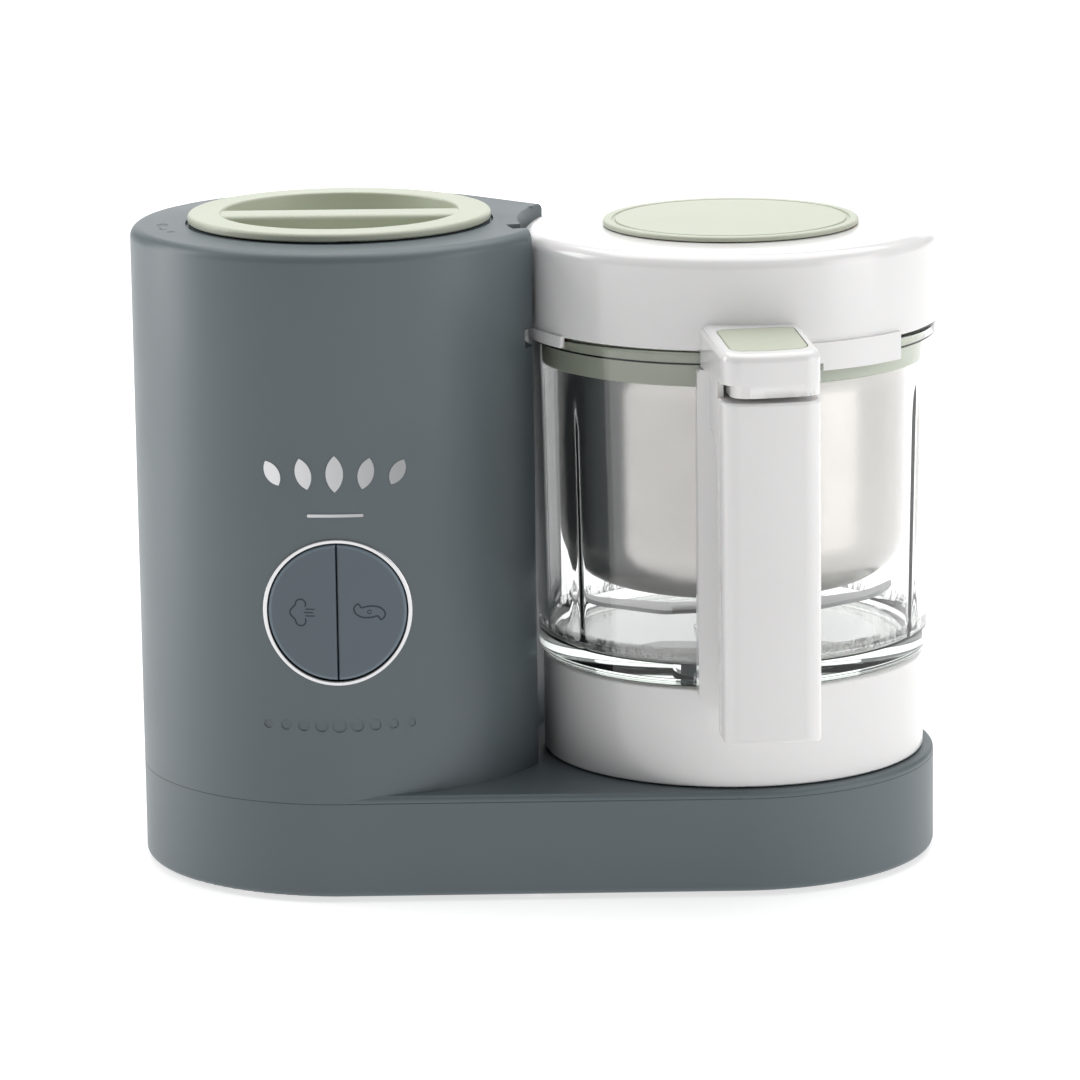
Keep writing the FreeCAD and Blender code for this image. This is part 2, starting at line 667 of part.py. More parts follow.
def drive_dog():
    return on_jug(dog_form(0, *DOG_Z).cut(rod(SPINDLE_R, 60, 75)))


def jug_coupling():
    cup = lathe([(SHAFT_R, 64.5), (18, 64.5), (18, 73.2, 1), (SHAFT_R, 73.2)])
    return on_jug(cup.cut(dog_form(0.6, 60, 70.6)))


# ---------------------------------------------------------------- jug
GASKET_R = (58.0, 66.0)


def jug_base():
    low, high = RING_Z
    body = lathe([(9, 78.5), (65.5, 78.5), (65.5, 50), (67.5, 50), (67.5, 78.5), (RING_R - WALL, 78.5, 3),
                  (RING_R - WALL, low), (RING_R, low, 0.8), (RING_R, high, 1.0), (GASKET_R[1], high),
                  (GASKET_R[1], 81.8), (GASKET_R[0], 81.8), (GASKET_R[0], high), (9, high)])
    return on_jug(body)


def jug_gasket():
    return on_jug(tube(*GASKET_R, 81.8, 83.25))


def blade_carrier():
    """Nose that carries the blade's bush up through the glass, clamped by a nut below."""
    nose = lathe([(6, 74), (9, 74), (9, 83.2), (15.2, 83.2), (15.2, 90, 2), (9.6, 97, 1), (6, 97)])
    nut = plan([(14 * math.cos(math.radians(60 * i)), 14 * math.sin(math.radians(60 * i)))
                for i in range(6)], 75, 78.5).cut(rod(9, 70, 80))
    return on_jug(Part.makeCompound([nose, nut]))


def carrier_bush():
    return on_jug(tube(SHAFT_R + RUN, 6, 74, 97))


def blade_shaft():
    return on_jug(rod(SHAFT_R, 70.8, 108))


def knife_form():
    """Two swept wings that rise towards their tips, on a flat ring."""
    wing = side([(0, 99.2), (28, 98.6, 40), (56, 102.4, 30), (66, 107.0),
                 (65.4, 108.6), (55.5, 104.0, 30), (28, 100.2, 40), (0, 100.8)], -12, 12)
    blank = plan([(0, -7), (32, -9, 40), (62, -4, 8), (66.5, 3, 2), (60, 4, 6), (32, 7, 40), (0, 7)], 90, 115)
    wing = wing.common(blank)
    return wing.fuse([turned(wing, 180), rod(10, 99.2, 100.8)]).cut(rod(SHAFT_R, 90, 120)).removeSplitter()


def blade_knife():
    return on_jug(turned(knife_form(), 4.0))


def blade_hub():
    """Stepped hub that clamps the knife and caps the shaft."""
    body = lathe([(0, 98), (12.6, 98, 0.8), (12.6, 101.5, 0.8), (9.4, 103.2, 0.8), (8.6, 107, 1),
                  (6.4, 110.5, 1.5), (0, 110.5)])
    return on_jug(body.cut([rod(SHAFT_R, 90, 108), turned(knife_form(), 4.0)]))


def glass_slope(z):
    """Outside radius of the glass at height z."""
    share = (z - GLASS_Z[0]) / (GLASS_Z[1] - GLASS_Z[0])
    return GLASS_R[0] + share * (GLASS_R[1] - GLASS_R[0])


RIB_COUNT = 6
LEDGE_Z = 213.6


def glass_bowl():
    """Thick tapered bowl with a ledge for the basket and pressed ribs inside."""
    low, high = GLASS_Z
    outside = [(16, low), (GLASS_R[0], low, 4), (GLASS_R[1], high, 1.2)]
    bowl = lathe(outside + [(78.5, high, 1.2), (78.3, LEDGE_Z), (76.8, LEDGE_Z - 1.0),
                            (74.6, 91.4, 9), (16, 91.4)])
    core = lathe([(0, low), (GLASS_R[0] - 1, low + 3), (GLASS_R[1] - 1, high), (0, high)])
    rib = rod(7.0, 90, 184, 79.0).fuse(Part.makeCone(7.0, 1.0, 14, Vector(79.0, 0, 184)))
    return on_jug(bowl.fuse([r.common(core) for r in around(rib, RIB_COUNT, HANDLE_AZ)]).removeSplitter())


# ---------------------------------------------------------------- handle
BRACKET_R = 87.0
BRACKET_HALF = 24.0
BRACKET_Z = (78.0, 212.4)
GRIP_U = (104.0, 124.0)
GRIP_HALF = 19.3
GRIP_Z = (72.0, 206.0)


def handle_bracket():
    """Curved pad that hugs the glass."""
    low, high = BRACKET_Z
    half = BRACKET_HALF
    pad = across([(-half, low, 7), (half, low, 7), (half, high, 2), (-half, high, 2)], 60, 95)
    glass = lathe([(0, 60), (glass_slope(60) + 0.05, 60), (glass_slope(230) + 0.05, 230), (0, 230)])
    return on_handle(pad.common(rod(BRACKET_R, 60, 230)).cut(glass))


def side_edges(shape, half, x_limit, z_limit):
    """Edges in the planes y = -half and y = half, not beyond x_limit and below z_limit."""
    found = []
    for edge in shape.Edges:
        span = edge.BoundBox
        flat = span.YLength < 1e-4 and abs(abs(span.YMin) - half) < 1e-4
        if flat and span.XMin < x_limit and span.XMax < x_limit + 12 and span.ZMax < z_limit:
            found.append(edge)
    return found


def grip_block():
    """Side outline of the arm and grip, cut to a plan with rounded corners."""
    inner, outer = GRIP_U
    low, high = GRIP_Z
    profile = side([(80, high), (outer + 1, high), (outer + 1, low, 8), (inner, low, 5),
                    (inner, 188, 12), (80, 188)], -GRIP_HALF, GRIP_HALF)
    profile = profile.makeFillet(2.5, side_edges(profile, GRIP_HALF, inner + 1, high - 5))
    shape = plan([(60, -GRIP_HALF - 1), (outer - 2.0, -GRIP_HALF, 8), (outer, 0, 90),
                  (outer - 2.0, GRIP_HALF, 8), (60, GRIP_HALF + 1)], 60, 220)
    block = profile.common(shape)
    return block.makeFillet(1.2, [e for e in level_edges(block, high) if e.BoundBox.XMax > outer - 12])


def cover_form(z0, z1, half, u0, u1):
    return across(rectangle(-half, half, z0, z1, 5), u0, u1)


GRIP_SCREW_Z = (95.0, 165.0)


def handle_grip():
    """Hollow grip and arm, with a low wall at the left that stops the lid's lever."""
    inner, outer = GRIP_U
    wall = box(80, 108, -GRIP_HALF, -GRIP_HALF + 2.4, GRIP_Z[1] - 1, BRACKET_Z[1])
    body = grip_block().fuse(wall).cut(rod(BRACKET_R, 60, 230))
    pocket = cover_form(78, 184, 14.4, inner - 1, inner + 2.6)
    cavity = cover_form(80, 182, 12.5, inner + 2.5, outer - 3)
    body = body.cut([pocket, cavity])
    posts = [rod_x(4, inner + 2.6, outer - 2.5, 0, z) for z in GRIP_SCREW_Z]
    holes = [rod_x(SCREW_R, inner, outer - 6, 0, z) for z in GRIP_SCREW_Z]
    return on_handle(body.fuse(posts).cut(holes))


def grip_cover():
    inner = GRIP_U[0]
    plate = cover_form(78, 184, 14.4, inner, inner + 2.6)
    holes = [rod_x(SCREW_R, inner - 1, inner + 5, 0, z) for z in GRIP_SCREW_Z]
    heads = [rod_x(SCREW_HEAD_R, inner - 1, inner + 1.2, 0, z) for z in GRIP_SCREW_Z]
    return on_handle(plate.cut(holes + heads))


def grip_screws():
    inner = GRIP_U[0]
    screws = [rod_x(SCREW_HEAD_R, inner + 0.2, inner + 1.2, 0, z).fuse(
        rod_x(SCREW_R, inner + 1.2, inner + 12, 0, z)) for z in GRIP_SCREW_Z]
    return on_handle(Part.makeCompound(screws))


# ---------------------------------------------------------------- basket
STEEL = 0.8


def steam_basket():
    """Deep-drawn steel basket with a perforated floor and a turned-out lip."""
    corner = 22.0
    body = lathe([(0, BASKET_Z), (BASKET_R, BASKET_Z, corner), (BASKET_R + 0.8, 207.0),
                  (74.5, 207.0), (74.5, 207.8), (BASKET_R, 207.8),
                  (BASKET_R - STEEL, BASKET_Z + STEEL, corner - STEEL), (0, BASKET_Z + STEEL)])
    holes = [rod(1.6, BASKET_Z - 1, BASKET_Z + 2)]
    for ring in range(1, 5):
        for i in range(6 * ring):
            angle = 2 * math.pi * i / (6 * ring)
            reach = 9.5 * ring
            holes.append(rod(1.6, BASKET_Z - 1, BASKET_Z + 2, reach * math.cos(angle), reach * math.sin(angle)))
    return on_jug(body.cut(Part.makeCompound(holes)))


def basket_rim():
    """Soft rim moulded round the basket's lip; its flange rests on the ledge in the glass."""
    low, high = RIM_Z
    return on_jug(lathe([(70.3, low, 0.8), (75.9, low, 1.0), (75.9, LEDGE_Z + GAP), (77.8, LEDGE_Z + GAP),
                         (77.8, high, 0.8), (66.6, high, 1.2), (66.6, 207.8), (74.5, 207.8),
                         (74.5, 207.0), (70.3, 207.0)]))


# ---------------------------------------------------------------- lid
LID_WALL = 2.3
PLUG_HOLE_R = 46.5
LINER_Z = (234.0, 236.5)
BAND_AZ = (-66.3, -39.5)
BAND_R = 84.4
BAND_END_SWEEP = 6.6     # degrees from the band to the lever


def lid_seal():
    return on_jug(lathe([(74.0, 218.4), (80.4, 218.4, 0.6), (80.4, 221.4, 0.6), (74.0, 221.4)]))


def band_end():
    """End of the locking band, above the handle's pad, that runs up to the lever's side."""
    start = BAND_AZ[0]
    return sector(82.05, BAND_R, start - BAND_END_SWEEP, start + 0.5, BRACKET_Z[1] + 0.5, LID_Z[0] + 2)


def lid_shell():
    """Cap moulding with a skirt, the tongue for the column's slot and the locking band."""
    low, high = LID_Z
    inner = LID_R - LID_WALL
    shell = lathe([(inner, low), (LID_R, low, 0.8), (LID_R, high, 5.5), (PLUG_HOLE_R, high, 0.6),
                   (PLUG_HOLE_R, high - 3.5), (inner, high - 3.5, 3), (inner, 224.2),
                   (76, 224.2), (76, 221.8), (inner, 221.8)])
    flange = sector(82.05, 84.4, 189, 216, TONGUE_Z[0], low + 0.5)
    tongue = sector(82.05, TONGUE_R, *TONGUE_AZ, *TONGUE_Z)
    band = sector(82.05, BAND_R, *BAND_AZ, 210, low + 2)
    body = shell.fuse([flange, tongue, band, band_end()])
    return on_jug(body.cut(rod_x(6.0, -90, -70, 0, NOZZLE_Z)).removeSplitter())


def lid_liner():
    """Inner plate of the lid, with the chute under the feed hole."""
    low, high = LINER_Z
    inner = LID_R - LID_WALL
    top = LID_Z[1] - 3.5
    return on_jug(lathe([(PLUG_HOLE_R, low), (inner, low), (inner, high), (49, high, 1.5),
                         (49, top), (PLUG_HOLE_R, top)]))


PLUG_R = 51.0
PLUG_Z = (256.4, 258.4)


def lid_plug():
    """Plug of the feed hole: a shallow disc with a ring groove, and a skirt with a seal bead."""
    low, high = PLUG_Z
    body = lathe([(0, low - 1.5), (40.6, low - 1.5, 1), (40.6, 240), (43, 240), (43, 246, 0.5),
                  (46.1, 246.6, 1.0), (46.1, 248.6, 1.0), (43, 249.2, 0.5), (43, low), (PLUG_R, low, 0.5),
                  (PLUG_R, high, 0.9), (47.6, high), (47.3, high - 0.7), (46.4, high - 0.7),
                  (46.1, high), (0, high)])
    return on_jug(body)


LEVER_HALF = 19.4
LEVER_TURN = 5.0         # the lever lies slightly askew over the grip
LEVER_PIVOT = 112.0
LEVER_LOWER_Z = (208, 213.5)   # small block under the lever, in line with its front
LEVER_ROUNDING = 3.6
KEY_ROUNDING = 0.6
NARROW_HALF = 16.4            # the small block stays clear of the bracket's wall
LEVER_U = 123.6
LEVER_TOP = (229.0, 225.0)     # height at the lid's wall and at the front edge
BUTTON_U = (87.0, 117.0)
BUTTON_HALF = 15.2


def lever_top(u):
    """Height of the lever's sloping top at distance u from the jug's axis."""
    return LEVER_TOP[0] + (LEVER_TOP[1] - LEVER_TOP[0]) * (u - 84.0) / 34.0


def on_lever(shape):
    """From the lever's own frame to the part's: turned a little about a point over the grip."""
    askew = moved(turned(moved(shape, -LEVER_PIVOT), LEVER_TURN), LEVER_PIVOT)
    return on_handle(askew)


def key_plan(clearance):
    """Plan of the release button with a gently bowed front edge."""
    u0, u1 = BUTTON_U[0] - clearance, BUTTON_U[1] + clearance
    half = BUTTON_HALF + clearance
    return [(u0, -half, 3 + clearance), (u1 - 1.6, -half, 5 + clearance), (u1, 0, 60 + clearance),
            (u1 - 1.6, half, 5 + clearance), (u0, half, 3 + clearance)]


def lid_lever():
    """Lever over the handle, with a pocket for the release button."""
    half = LEVER_HALF
    front = [(LEVER_U - 2.0, -half, 8), (LEVER_U, 0, 90), (LEVER_U - 2.0, half, 8)]
    upper = side([(78, 213), (LEVER_U + 1, 213), (LEVER_U + 1, lever_top(LEVER_U)), (78, lever_top(78))],
                 -half, half)
    corner = plan([(60, -half)] + front + [(60, half)], 200, 240)
    narrow = [(LEVER_U - 1.8, -NARROW_HALF, 7), (LEVER_U - 0.2, 0, 90), (LEVER_U - 2.2, half - 0.2, 8)]
    lower = plan([(97, 1.8 - NARROW_HALF, 2)] + narrow + [(97, half - 0.2, 2)], *LEVER_LOWER_Z)
    pocket = plan(key_plan(GAP), 216.5, 240)
    upper = upper.common(corner)
    rim = [edge for edge in upper.Edges
           if edge.BoundBox.ZMin > LEVER_TOP[1] - 8 and edge.BoundBox.XMax > 85]
    upper = upper.makeFillet(LEVER_ROUNDING, rim)
    body = on_lever(upper.fuse(lower).cut(pocket).removeSplitter())
    return body.cut([on_jug(rod(LID_R, 200, 240)), on_jug(band_end())])


def latch_button():
    u0, u1 = BUTTON_U
    profile = side([(u0 - 5, 219.5), (u1 + 5, 219.5), (u1 + 5, lever_top(u1 + 5) + 0.2),
                    (u0 - 5, lever_top(u0 - 5) + 0.2)], -20, 20)
    button = profile.common(plan(key_plan(0), 200, 240))
    rim = [edge for edge in button.Edges if edge.BoundBox.ZMin > 222]
    button = button.makeFillet(KEY_ROUNDING, rim)
    hollow = plan(rectangle(u0 + 2, u1 - 4, -BUTTON_HALF + 2, BUTTON_HALF - 2, 2.5), 200, 221.5)
    return on_lever(button.cut(hollow))


# ---------------------------------------------------------------- interlock and inlet
PLUNGER_AZ = 194.0
PLUNGER_Z = 217.0


def plunger_rod(radius, r0, r1, x):
    """Rod along the groove's radius, at the height of the tongue."""
    angle = math.radians(PLUNGER_AZ)
    outward = Vector(math.cos(angle), math.sin(angle), 0)
    start = Vector(x, 0, PLUNGER_Z) + outward * r0
    return Part.makeCylinder(radius, r1 - r0, start, outward)


def interlock_plunger():
    """Pin that the lid's tongue holds back when the lid is locked."""
    return plunger_rod(1.5, GROOVE_R, 98.0, JUG_X)


def interlock_switch():
    """Small safety switch behind the slot."""
    body = box(98.5, 104.5, -4.5, 4.5, PLUNGER_Z - 8, PLUNGER_Z + 8)
    return on_jug(turned(body, PLUNGER_AZ))


def cable_gland():
    """Collar at the back of the base where the mains lead would enter."""
    collar = rod_y(5.5, COLUMN_R - 6, COLUMN_R + 1.6, COLUMN_X, 16)
    flange = rod_y(8.0, COLUMN_R - 8, COLUMN_R - 6, COLUMN_X, 16)
    return collar.fuse(flange).cut(rod_y(3.4, COLUMN_R - 10, COLUMN_R + 6, COLUMN_X, 16))


# ---------------------------------------------------------------- write the sub-parts
NODES = {
    "lower_casing": lower_casing, "bottom_cover": bottom_cover, "rubber_feet": rubber_feet,
    "casing_screws": casing_screws, "base_deck": base_deck, "column_housing": column_housing,
    "column_top_cover": column_top_cover, "front_trim": front_trim, "water_tank": water_tank,
    "tank_gasket": tank_gasket, "tank_collar": tank_collar, "heater_plate": heater_plate,
    "thermostats": thermostats, "steam_outlet": steam_outlet, "cap_seal": cap_seal,
    "tank_cap": tank_cap, "panel_bezel": panel_bezel, "panel_frame": panel_frame,
    "steam_button": lambda: half_button(-1), "blend_button": lambda: half_button(1),
    "control_board": control_board, "chassis_plate": chassis_plate,
    "motor_end_frames": motor_end_frames, "ball_bearings": ball_bearings,
    "motor_stator": motor_stator, "field_coils": field_coils, "motor_brushes": motor_brushes,
    "motor_shaft": motor_shaft, "rotor": rotor, "cooling_fan": cooling_fan,
    "motor_pulley": lambda: on_column(ribbed_pulley(SHAFT_R, PULLEY_R[0], 0)),
    "driven_pulley": lambda: on_jug(ribbed_pulley(SPINDLE_R, PULLEY_R[1], 6)),
    "drive_belt": drive_belt, "bearing_housing": bearing_housing,
    "drive_spindle": drive_spindle, "drive_dog": drive_dog, "jug_coupling": jug_coupling,
    "jug_base": jug_base, "jug_gasket": jug_gasket, "blade_carrier": blade_carrier,
    "carrier_bush": carrier_bush, "blade_shaft": blade_shaft, "blade_knife": blade_knife,
    "blade_hub": blade_hub, "glass_bowl": glass_bowl, "handle_bracket": handle_bracket,
    "handle_grip": handle_grip, "grip_cover": grip_cover, "grip_screws": grip_screws,
    "steam_basket": steam_basket, "basket_rim": basket_rim, "lid_seal": lid_seal,
    "lid_shell": lid_shell, "lid_liner": lid_liner, "lid_plug": lid_plug,
    "lid_lever": lid_lever, "latch_button": latch_button,
    "interlock_plunger": interlock_plunger, "interlock_switch": interlock_switch,
    "cable_gland": cable_gland,
}

os.makedirs("parts", exist_ok=True)
for node, make in NODES.items():
    save(node, make())
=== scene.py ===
# %% [markdown]
# # A baby food maker: steam column, glass jug and lid on one base
#
# The real object is a set of mouldings: two slate-grey casings, a column with a water tank
# in it, a thick glass jug on a white foot, a brushed steel basket, and a glossy white lid.
# The engineering model is loaded first as a fixed frame, and every visible piece below is
# placed in that frame, in metres. The shapes are drawn in millimetres and divided by 1000.

# %% Load the frame
import bpy
import bmesh
import json
import math
import numpy as np
from mathutils import Matrix, Vector


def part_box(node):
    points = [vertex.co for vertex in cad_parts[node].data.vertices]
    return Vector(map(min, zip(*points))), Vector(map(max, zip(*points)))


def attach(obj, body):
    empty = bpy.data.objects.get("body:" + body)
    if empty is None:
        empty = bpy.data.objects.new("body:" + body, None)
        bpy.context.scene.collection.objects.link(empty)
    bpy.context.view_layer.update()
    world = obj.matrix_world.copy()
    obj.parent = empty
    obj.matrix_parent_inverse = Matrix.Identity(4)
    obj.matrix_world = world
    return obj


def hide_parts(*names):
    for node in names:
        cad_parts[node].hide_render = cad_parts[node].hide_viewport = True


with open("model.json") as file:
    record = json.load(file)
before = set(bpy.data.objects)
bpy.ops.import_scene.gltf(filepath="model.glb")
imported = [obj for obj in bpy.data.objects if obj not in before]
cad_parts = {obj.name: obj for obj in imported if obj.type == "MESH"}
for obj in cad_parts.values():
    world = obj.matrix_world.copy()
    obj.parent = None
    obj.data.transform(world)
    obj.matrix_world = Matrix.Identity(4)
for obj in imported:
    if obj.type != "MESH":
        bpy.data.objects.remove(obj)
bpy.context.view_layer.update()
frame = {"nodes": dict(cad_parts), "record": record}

# %% [markdown]
# The two axes that everything turns about come from the frame's own boxes: the tank's
# cap is centred on the column, and the jug's foot is centred on the jug.

# %% The two axes
cap_low, cap_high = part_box("tank_cap")
foot_low, foot_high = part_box("jug_base")
COLUMN_X = 500 * (cap_low.x + cap_high.x)
JUG_X = 500 * (foot_low.x + foot_high.x)
COLUMN_R = 83.5
PANEL_Z = 117.5
HANDLE_AZIMUTH = math.radians(-84)
print("column axis at x", round(COLUMN_X, 2), "jug axis at x", round(JUG_X, 2))

# %% [markdown]
# ## Camera
# A long lens from a little above flattens the perspective, which is how small appliances
# are usually shown. The camera's three axes are worked out from its pitch, yaw and roll,
# so nothing has to be aimed by hand.

# %% Camera
def aimed(pitch, yaw, roll):
    """Rotation matrix whose columns are the camera's right, up and backward directions."""
    ahead = Vector((math.sin(yaw) * math.cos(pitch), math.cos(yaw) * math.cos(pitch), -math.sin(pitch)))
    level = Vector((math.cos(yaw), -math.sin(yaw), 0))
    upright = level.cross(ahead)
    right = math.cos(roll) * level + math.sin(roll) * upright
    up = -math.sin(roll) * level + math.cos(roll) * upright
    return Matrix((right, up, -ahead)).transposed()


lens = bpy.data.cameras.new("front_camera")
lens.lens, lens.sensor_width = 185.4, 36.0
lens.clip_start, lens.clip_end = 0.1, 30.0
camera = bpy.data.objects.new("front_camera", lens)
camera.matrix_world = Matrix.Translation((0.0299, -2.1946, 0.6044)) @ aimed(0.214, -0.0129, -0.0135).to_4x4()
bpy.context.scene.collection.objects.link(camera)
bpy.context.scene.camera = camera
print("camera looks along", [round(v, 3) for v in camera.matrix_world.col[2][:3]])

# %% [markdown]
# ## Light
# A white sweep under the object sends as much light up as the softboxes send down, so the
# floor both glows faintly and takes light. A large softbox hangs above, a tall one stands
# at the right and a narrower one at the left, which draws the bright edge down the column.
# A low wide one behind shines through the glass and off the level tops. The world is a dim
# even grey: it only keeps the front faces from going dark.

# %% Floor, softboxes and world
def softbox(name, place, target, size, power):
    """Rectangular area light at a place, turned to face a target."""
    lamp = bpy.data.lights.new(name, "AREA")
    lamp.shape, lamp.size, lamp.size_y, lamp.energy = "RECTANGLE", size[0], size[1], power
    holder = bpy.data.objects.new(name, lamp)
    holder.location = place
    holder.rotation_euler = (Vector(target) - Vector(place)).to_track_quat("-Z", "Y").to_euler()
    bpy.context.scene.collection.objects.link(holder)
    return holder


softbox("softbox_above", (0.1, 0.30, 1.45), (0, 0, 0.1), (1.8, 1.5), 24.5)
softbox("softbox_right", (1.5, -0.55, 0.40), (0, 0, 0.09), (0.9, 1.2), 8.0)
softbox("softbox_left", (-1.3, 0.25, 0.45), (0, 0, 0.12), (0.55, 1.3), 11)
softbox("softbox_behind", (0.15, 1.7, 0.55), (0, 0, 0.15), (2.0, 0.9), 6)

floor_mesh = bpy.data.meshes.new("studio_floor")
floor_mesh.from_pydata([(-9, -9, 0), (9, -9, 0), (9, 9, 0), (-9, 9, 0)], [], [(0, 1, 2, 3)])
studio_floor = bpy.data.objects.new("studio_floor", floor_mesh)
bpy.context.scene.collection.objects.link(studio_floor)

world = bpy.data.worlds.new("studio_air")
world.use_nodes = True
world.node_tree.nodes["Background"].inputs["Color"].default_value = (0.97, 0.98, 1.0, 1)
world.node_tree.nodes["Background"].inputs["Strength"].default_value = 0.215
bpy.context.scene.world = world
bpy.context.scene.view_settings.view_transform = "Standard"

# %% [markdown]
# ## Finishes
# Every finish starts from one shader. Three small helpers add what a moulded or ground
# surface shows close up: a faint drift of colour, a change of gloss from handling, and a
# fine relief. All patterns read object coordinates, so they hold still on their piece.

# %% Helpers for finishes
def finish(name, colour, roughness, **sockets):
    """New material with a principled shader; extra keyword names are its sockets."""
    made = bpy.data.materials.new(name)
    made.use_nodes = True
    shader = made.node_tree.nodes["Principled BSDF"]
    shader.inputs["Base Color"].default_value = (*colour, 1)
    shader.inputs["Roughness"].default_value = roughness
    for socket, value in sockets.items():
        shader.inputs[socket.replace("_", " ")].default_value = value
    return made


def node(made, kind, **values):
    """New node in a material; values go to its inputs by name."""
    new = made.node_tree.nodes.new(kind)
    for key, value in values.items():
        new.inputs[key.replace("_", " ")].default_value = value
    return new


def pattern(made, scale, detail=3.0, stretch=(1, 1, 1)):
    """Noise output read from object coordinates, scaled by stretch on each axis."""
    links = made.node_tree.links
    place = node(made, "ShaderNodeTexCoord")
    mapping = node(made, "ShaderNodeMapping", Scale=stretch)
    noise = node(made, "ShaderNodeTexNoise", Scale=scale, Detail=detail)
    links.new(place.outputs["Object"], mapping.inputs["Vector"])
    links.new(mapping.outputs["Vector"], noise.inputs["Vector"])
    return noise.outputs["Fac"]


def ramp(made, source, low, high, start=0.3, stop=0.7):
    """Colour or grey that runs from low to high as the source runs from start to stop."""
    new = made.node_tree.nodes.new("ShaderNodeValToRGB")
    for stop_point, place, value in zip(new.color_ramp.elements, (start, stop), (low, high)):
        stop_point.position = place
        stop_point.color = (*value, 1) if isinstance(value, tuple) else (value, value, value, 1)
    made.node_tree.links.new(source, new.inputs["Fac"])
    return new.outputs["Color"]


def mottled(made, scale, spread):
    """The base colour drifts by the given share, lighter and darker, over large patches."""
    shader = made.node_tree.nodes["Principled BSDF"]
    colour = tuple(shader.inputs["Base Color"].default_value[:3])
    low = tuple(c * (1 - spread) for c in colour)
    high = tuple(min(1.0, c * (1 + spread)) for c in colour)
    made.node_tree.links.new(ramp(made, pattern(made, scale), low, high), shader.inputs["Base Color"])


def handled(made, scale, low, high):
    """Roughness that wanders between two values, as where a surface has been wiped."""
    shader = made.node_tree.nodes["Principled BSDF"]
    made.node_tree.links.new(ramp(made, pattern(made, scale, 4.0), low, high), shader.inputs["Roughness"])


def relief(made, scale, height, stretch=(1, 1, 1), detail=2.0, strength=1.0):
    """Fine bump of the given height in metres."""
    bump = node(made, "ShaderNodeBump", Strength=strength, Distance=height)
    made.node_tree.links.new(pattern(made, scale, detail, stretch), bump.inputs["Height"])
    shader = made.node_tree.nodes["Principled BSDF"]
    made.node_tree.links.new(bump.outputs["Normal"], shader.inputs["Normal"])
    return bump


def satin_plastic(name, colour, roughness=0.42, grain=0.000018):
    """Moulded plastic with a fine even grain and a soft sheen."""
    made = finish(name, colour, roughness, Specular_IOR_Level=0.45)
    mottled(made, 9.0, 0.03)
    handled(made, 14.0, roughness - 0.05, roughness + 0.05)
    relief(made, 2200.0, grain)
    return made


def gloss_plastic(name, colour, roughness=0.16, wave=0.00003, coat=0.35):
    """Polished plastic: a clear skin over colour, with the slow waviness of a moulding."""
    made = finish(name, colour, roughness, Coat_Weight=coat, Coat_Roughness=0.06,
                  Subsurface_Weight=0.06, Subsurface_Scale=0.004)
    mottled(made, 12.0, 0.012)
    handled(made, 20.0, roughness - 0.03, roughness + 0.05)
    relief(made, 38.0, wave)
    return made


def ground_metal(name, colour, roughness, stretch, scale=900.0, depth=0.00001):
    """Metal with fine grooves: noise that is long along one direction and short across it."""
    made = finish(name, colour, roughness, Metallic=1.0)
    mottled(made, 25.0, 0.04)
    relief(made, scale, depth, stretch, 3.0)
    return made


# %% [markdown]
# The floor is a plain near-white that glows a little, as a lit sweep does, and glows more
# further out, where the softboxes no longer reach it. The glow follows the distance from
# the middle: length of the object coordinates, mapped from 0.35 m to 1.4 m.

# %% Floor finish
floor_finish = finish("studio_floor", (0.52, 0.52, 0.52), 0.9, Emission_Color=(1, 1, 1, 1))
floor_place = node(floor_finish, "ShaderNodeTexCoord")
floor_reach = node(floor_finish, "ShaderNodeVectorMath")
floor_reach.operation = "LENGTH"
floor_glow = node(floor_finish, "ShaderNodeMapRange")
for socket, value in (("From Min", 0.35), ("From Max", 1.4), ("To Min", 0.68), ("To Max", 1.0)):
    floor_glow.inputs[socket].default_value = value
floor_links = floor_finish.node_tree.links
floor_links.new(floor_place.outputs["Object"], floor_reach.inputs[0])
floor_links.new(floor_reach.outputs["Value"], floor_glow.inputs["Value"])
floor_links.new(floor_glow.outputs["Result"],
                floor_finish.node_tree.nodes["Principled BSDF"].inputs["Emission Strength"])
floor_mesh.materials.append(floor_finish)

# %% [markdown]
# The casings are a slate grey with a fine spark-eroded grain. The keys are a shade bluer.
# The cap, plug and release key are sage green; the basket's rim is the same green in
# silicone, which is duller. White parts are polished.

# %% Plastics and rubbers
FINISHES = {
    "casing_grey": satin_plastic("casing_grey", (0.112, 0.137, 0.148), 0.4),
    "button_grey": satin_plastic("button_grey", (0.098, 0.126, 0.148), 0.36),
    "sage_plastic": gloss_plastic("sage_plastic", (0.50, 0.532, 0.427), 0.42, coat=0.08),
    "sage_rubber": satin_plastic("sage_rubber", (0.46, 0.50, 0.395), 0.5, 0.00001),
    "white_plastic": gloss_plastic("white_plastic", (0.79, 0.782, 0.776), 0.22),
    "liner_plastic": satin_plastic("liner_plastic", (0.74, 0.75, 0.74), 0.4),
    "dark_plastic": satin_plastic("dark_plastic", (0.022, 0.024, 0.027), 0.38),
    "collar_plastic": satin_plastic("collar_plastic", (0.28, 0.30, 0.30), 0.45),
    "board_green": satin_plastic("board_green", (0.015, 0.09, 0.035), 0.3),
    "black_rubber": satin_plastic("black_rubber", (0.012, 0.012, 0.013), 0.65, 0.00004),
    "clear_silicone": satin_plastic("clear_silicone", (0.62, 0.62, 0.59), 0.4),
}
print("plastics:", ", ".join(FINISHES))

# %% [markdown]
# Each key's rounded border catches more light than its face. The border is found from the
# distance to the panel's middle in the front view, and its colour is a shade lighter and
# bluer there, from 25.6 mm out.

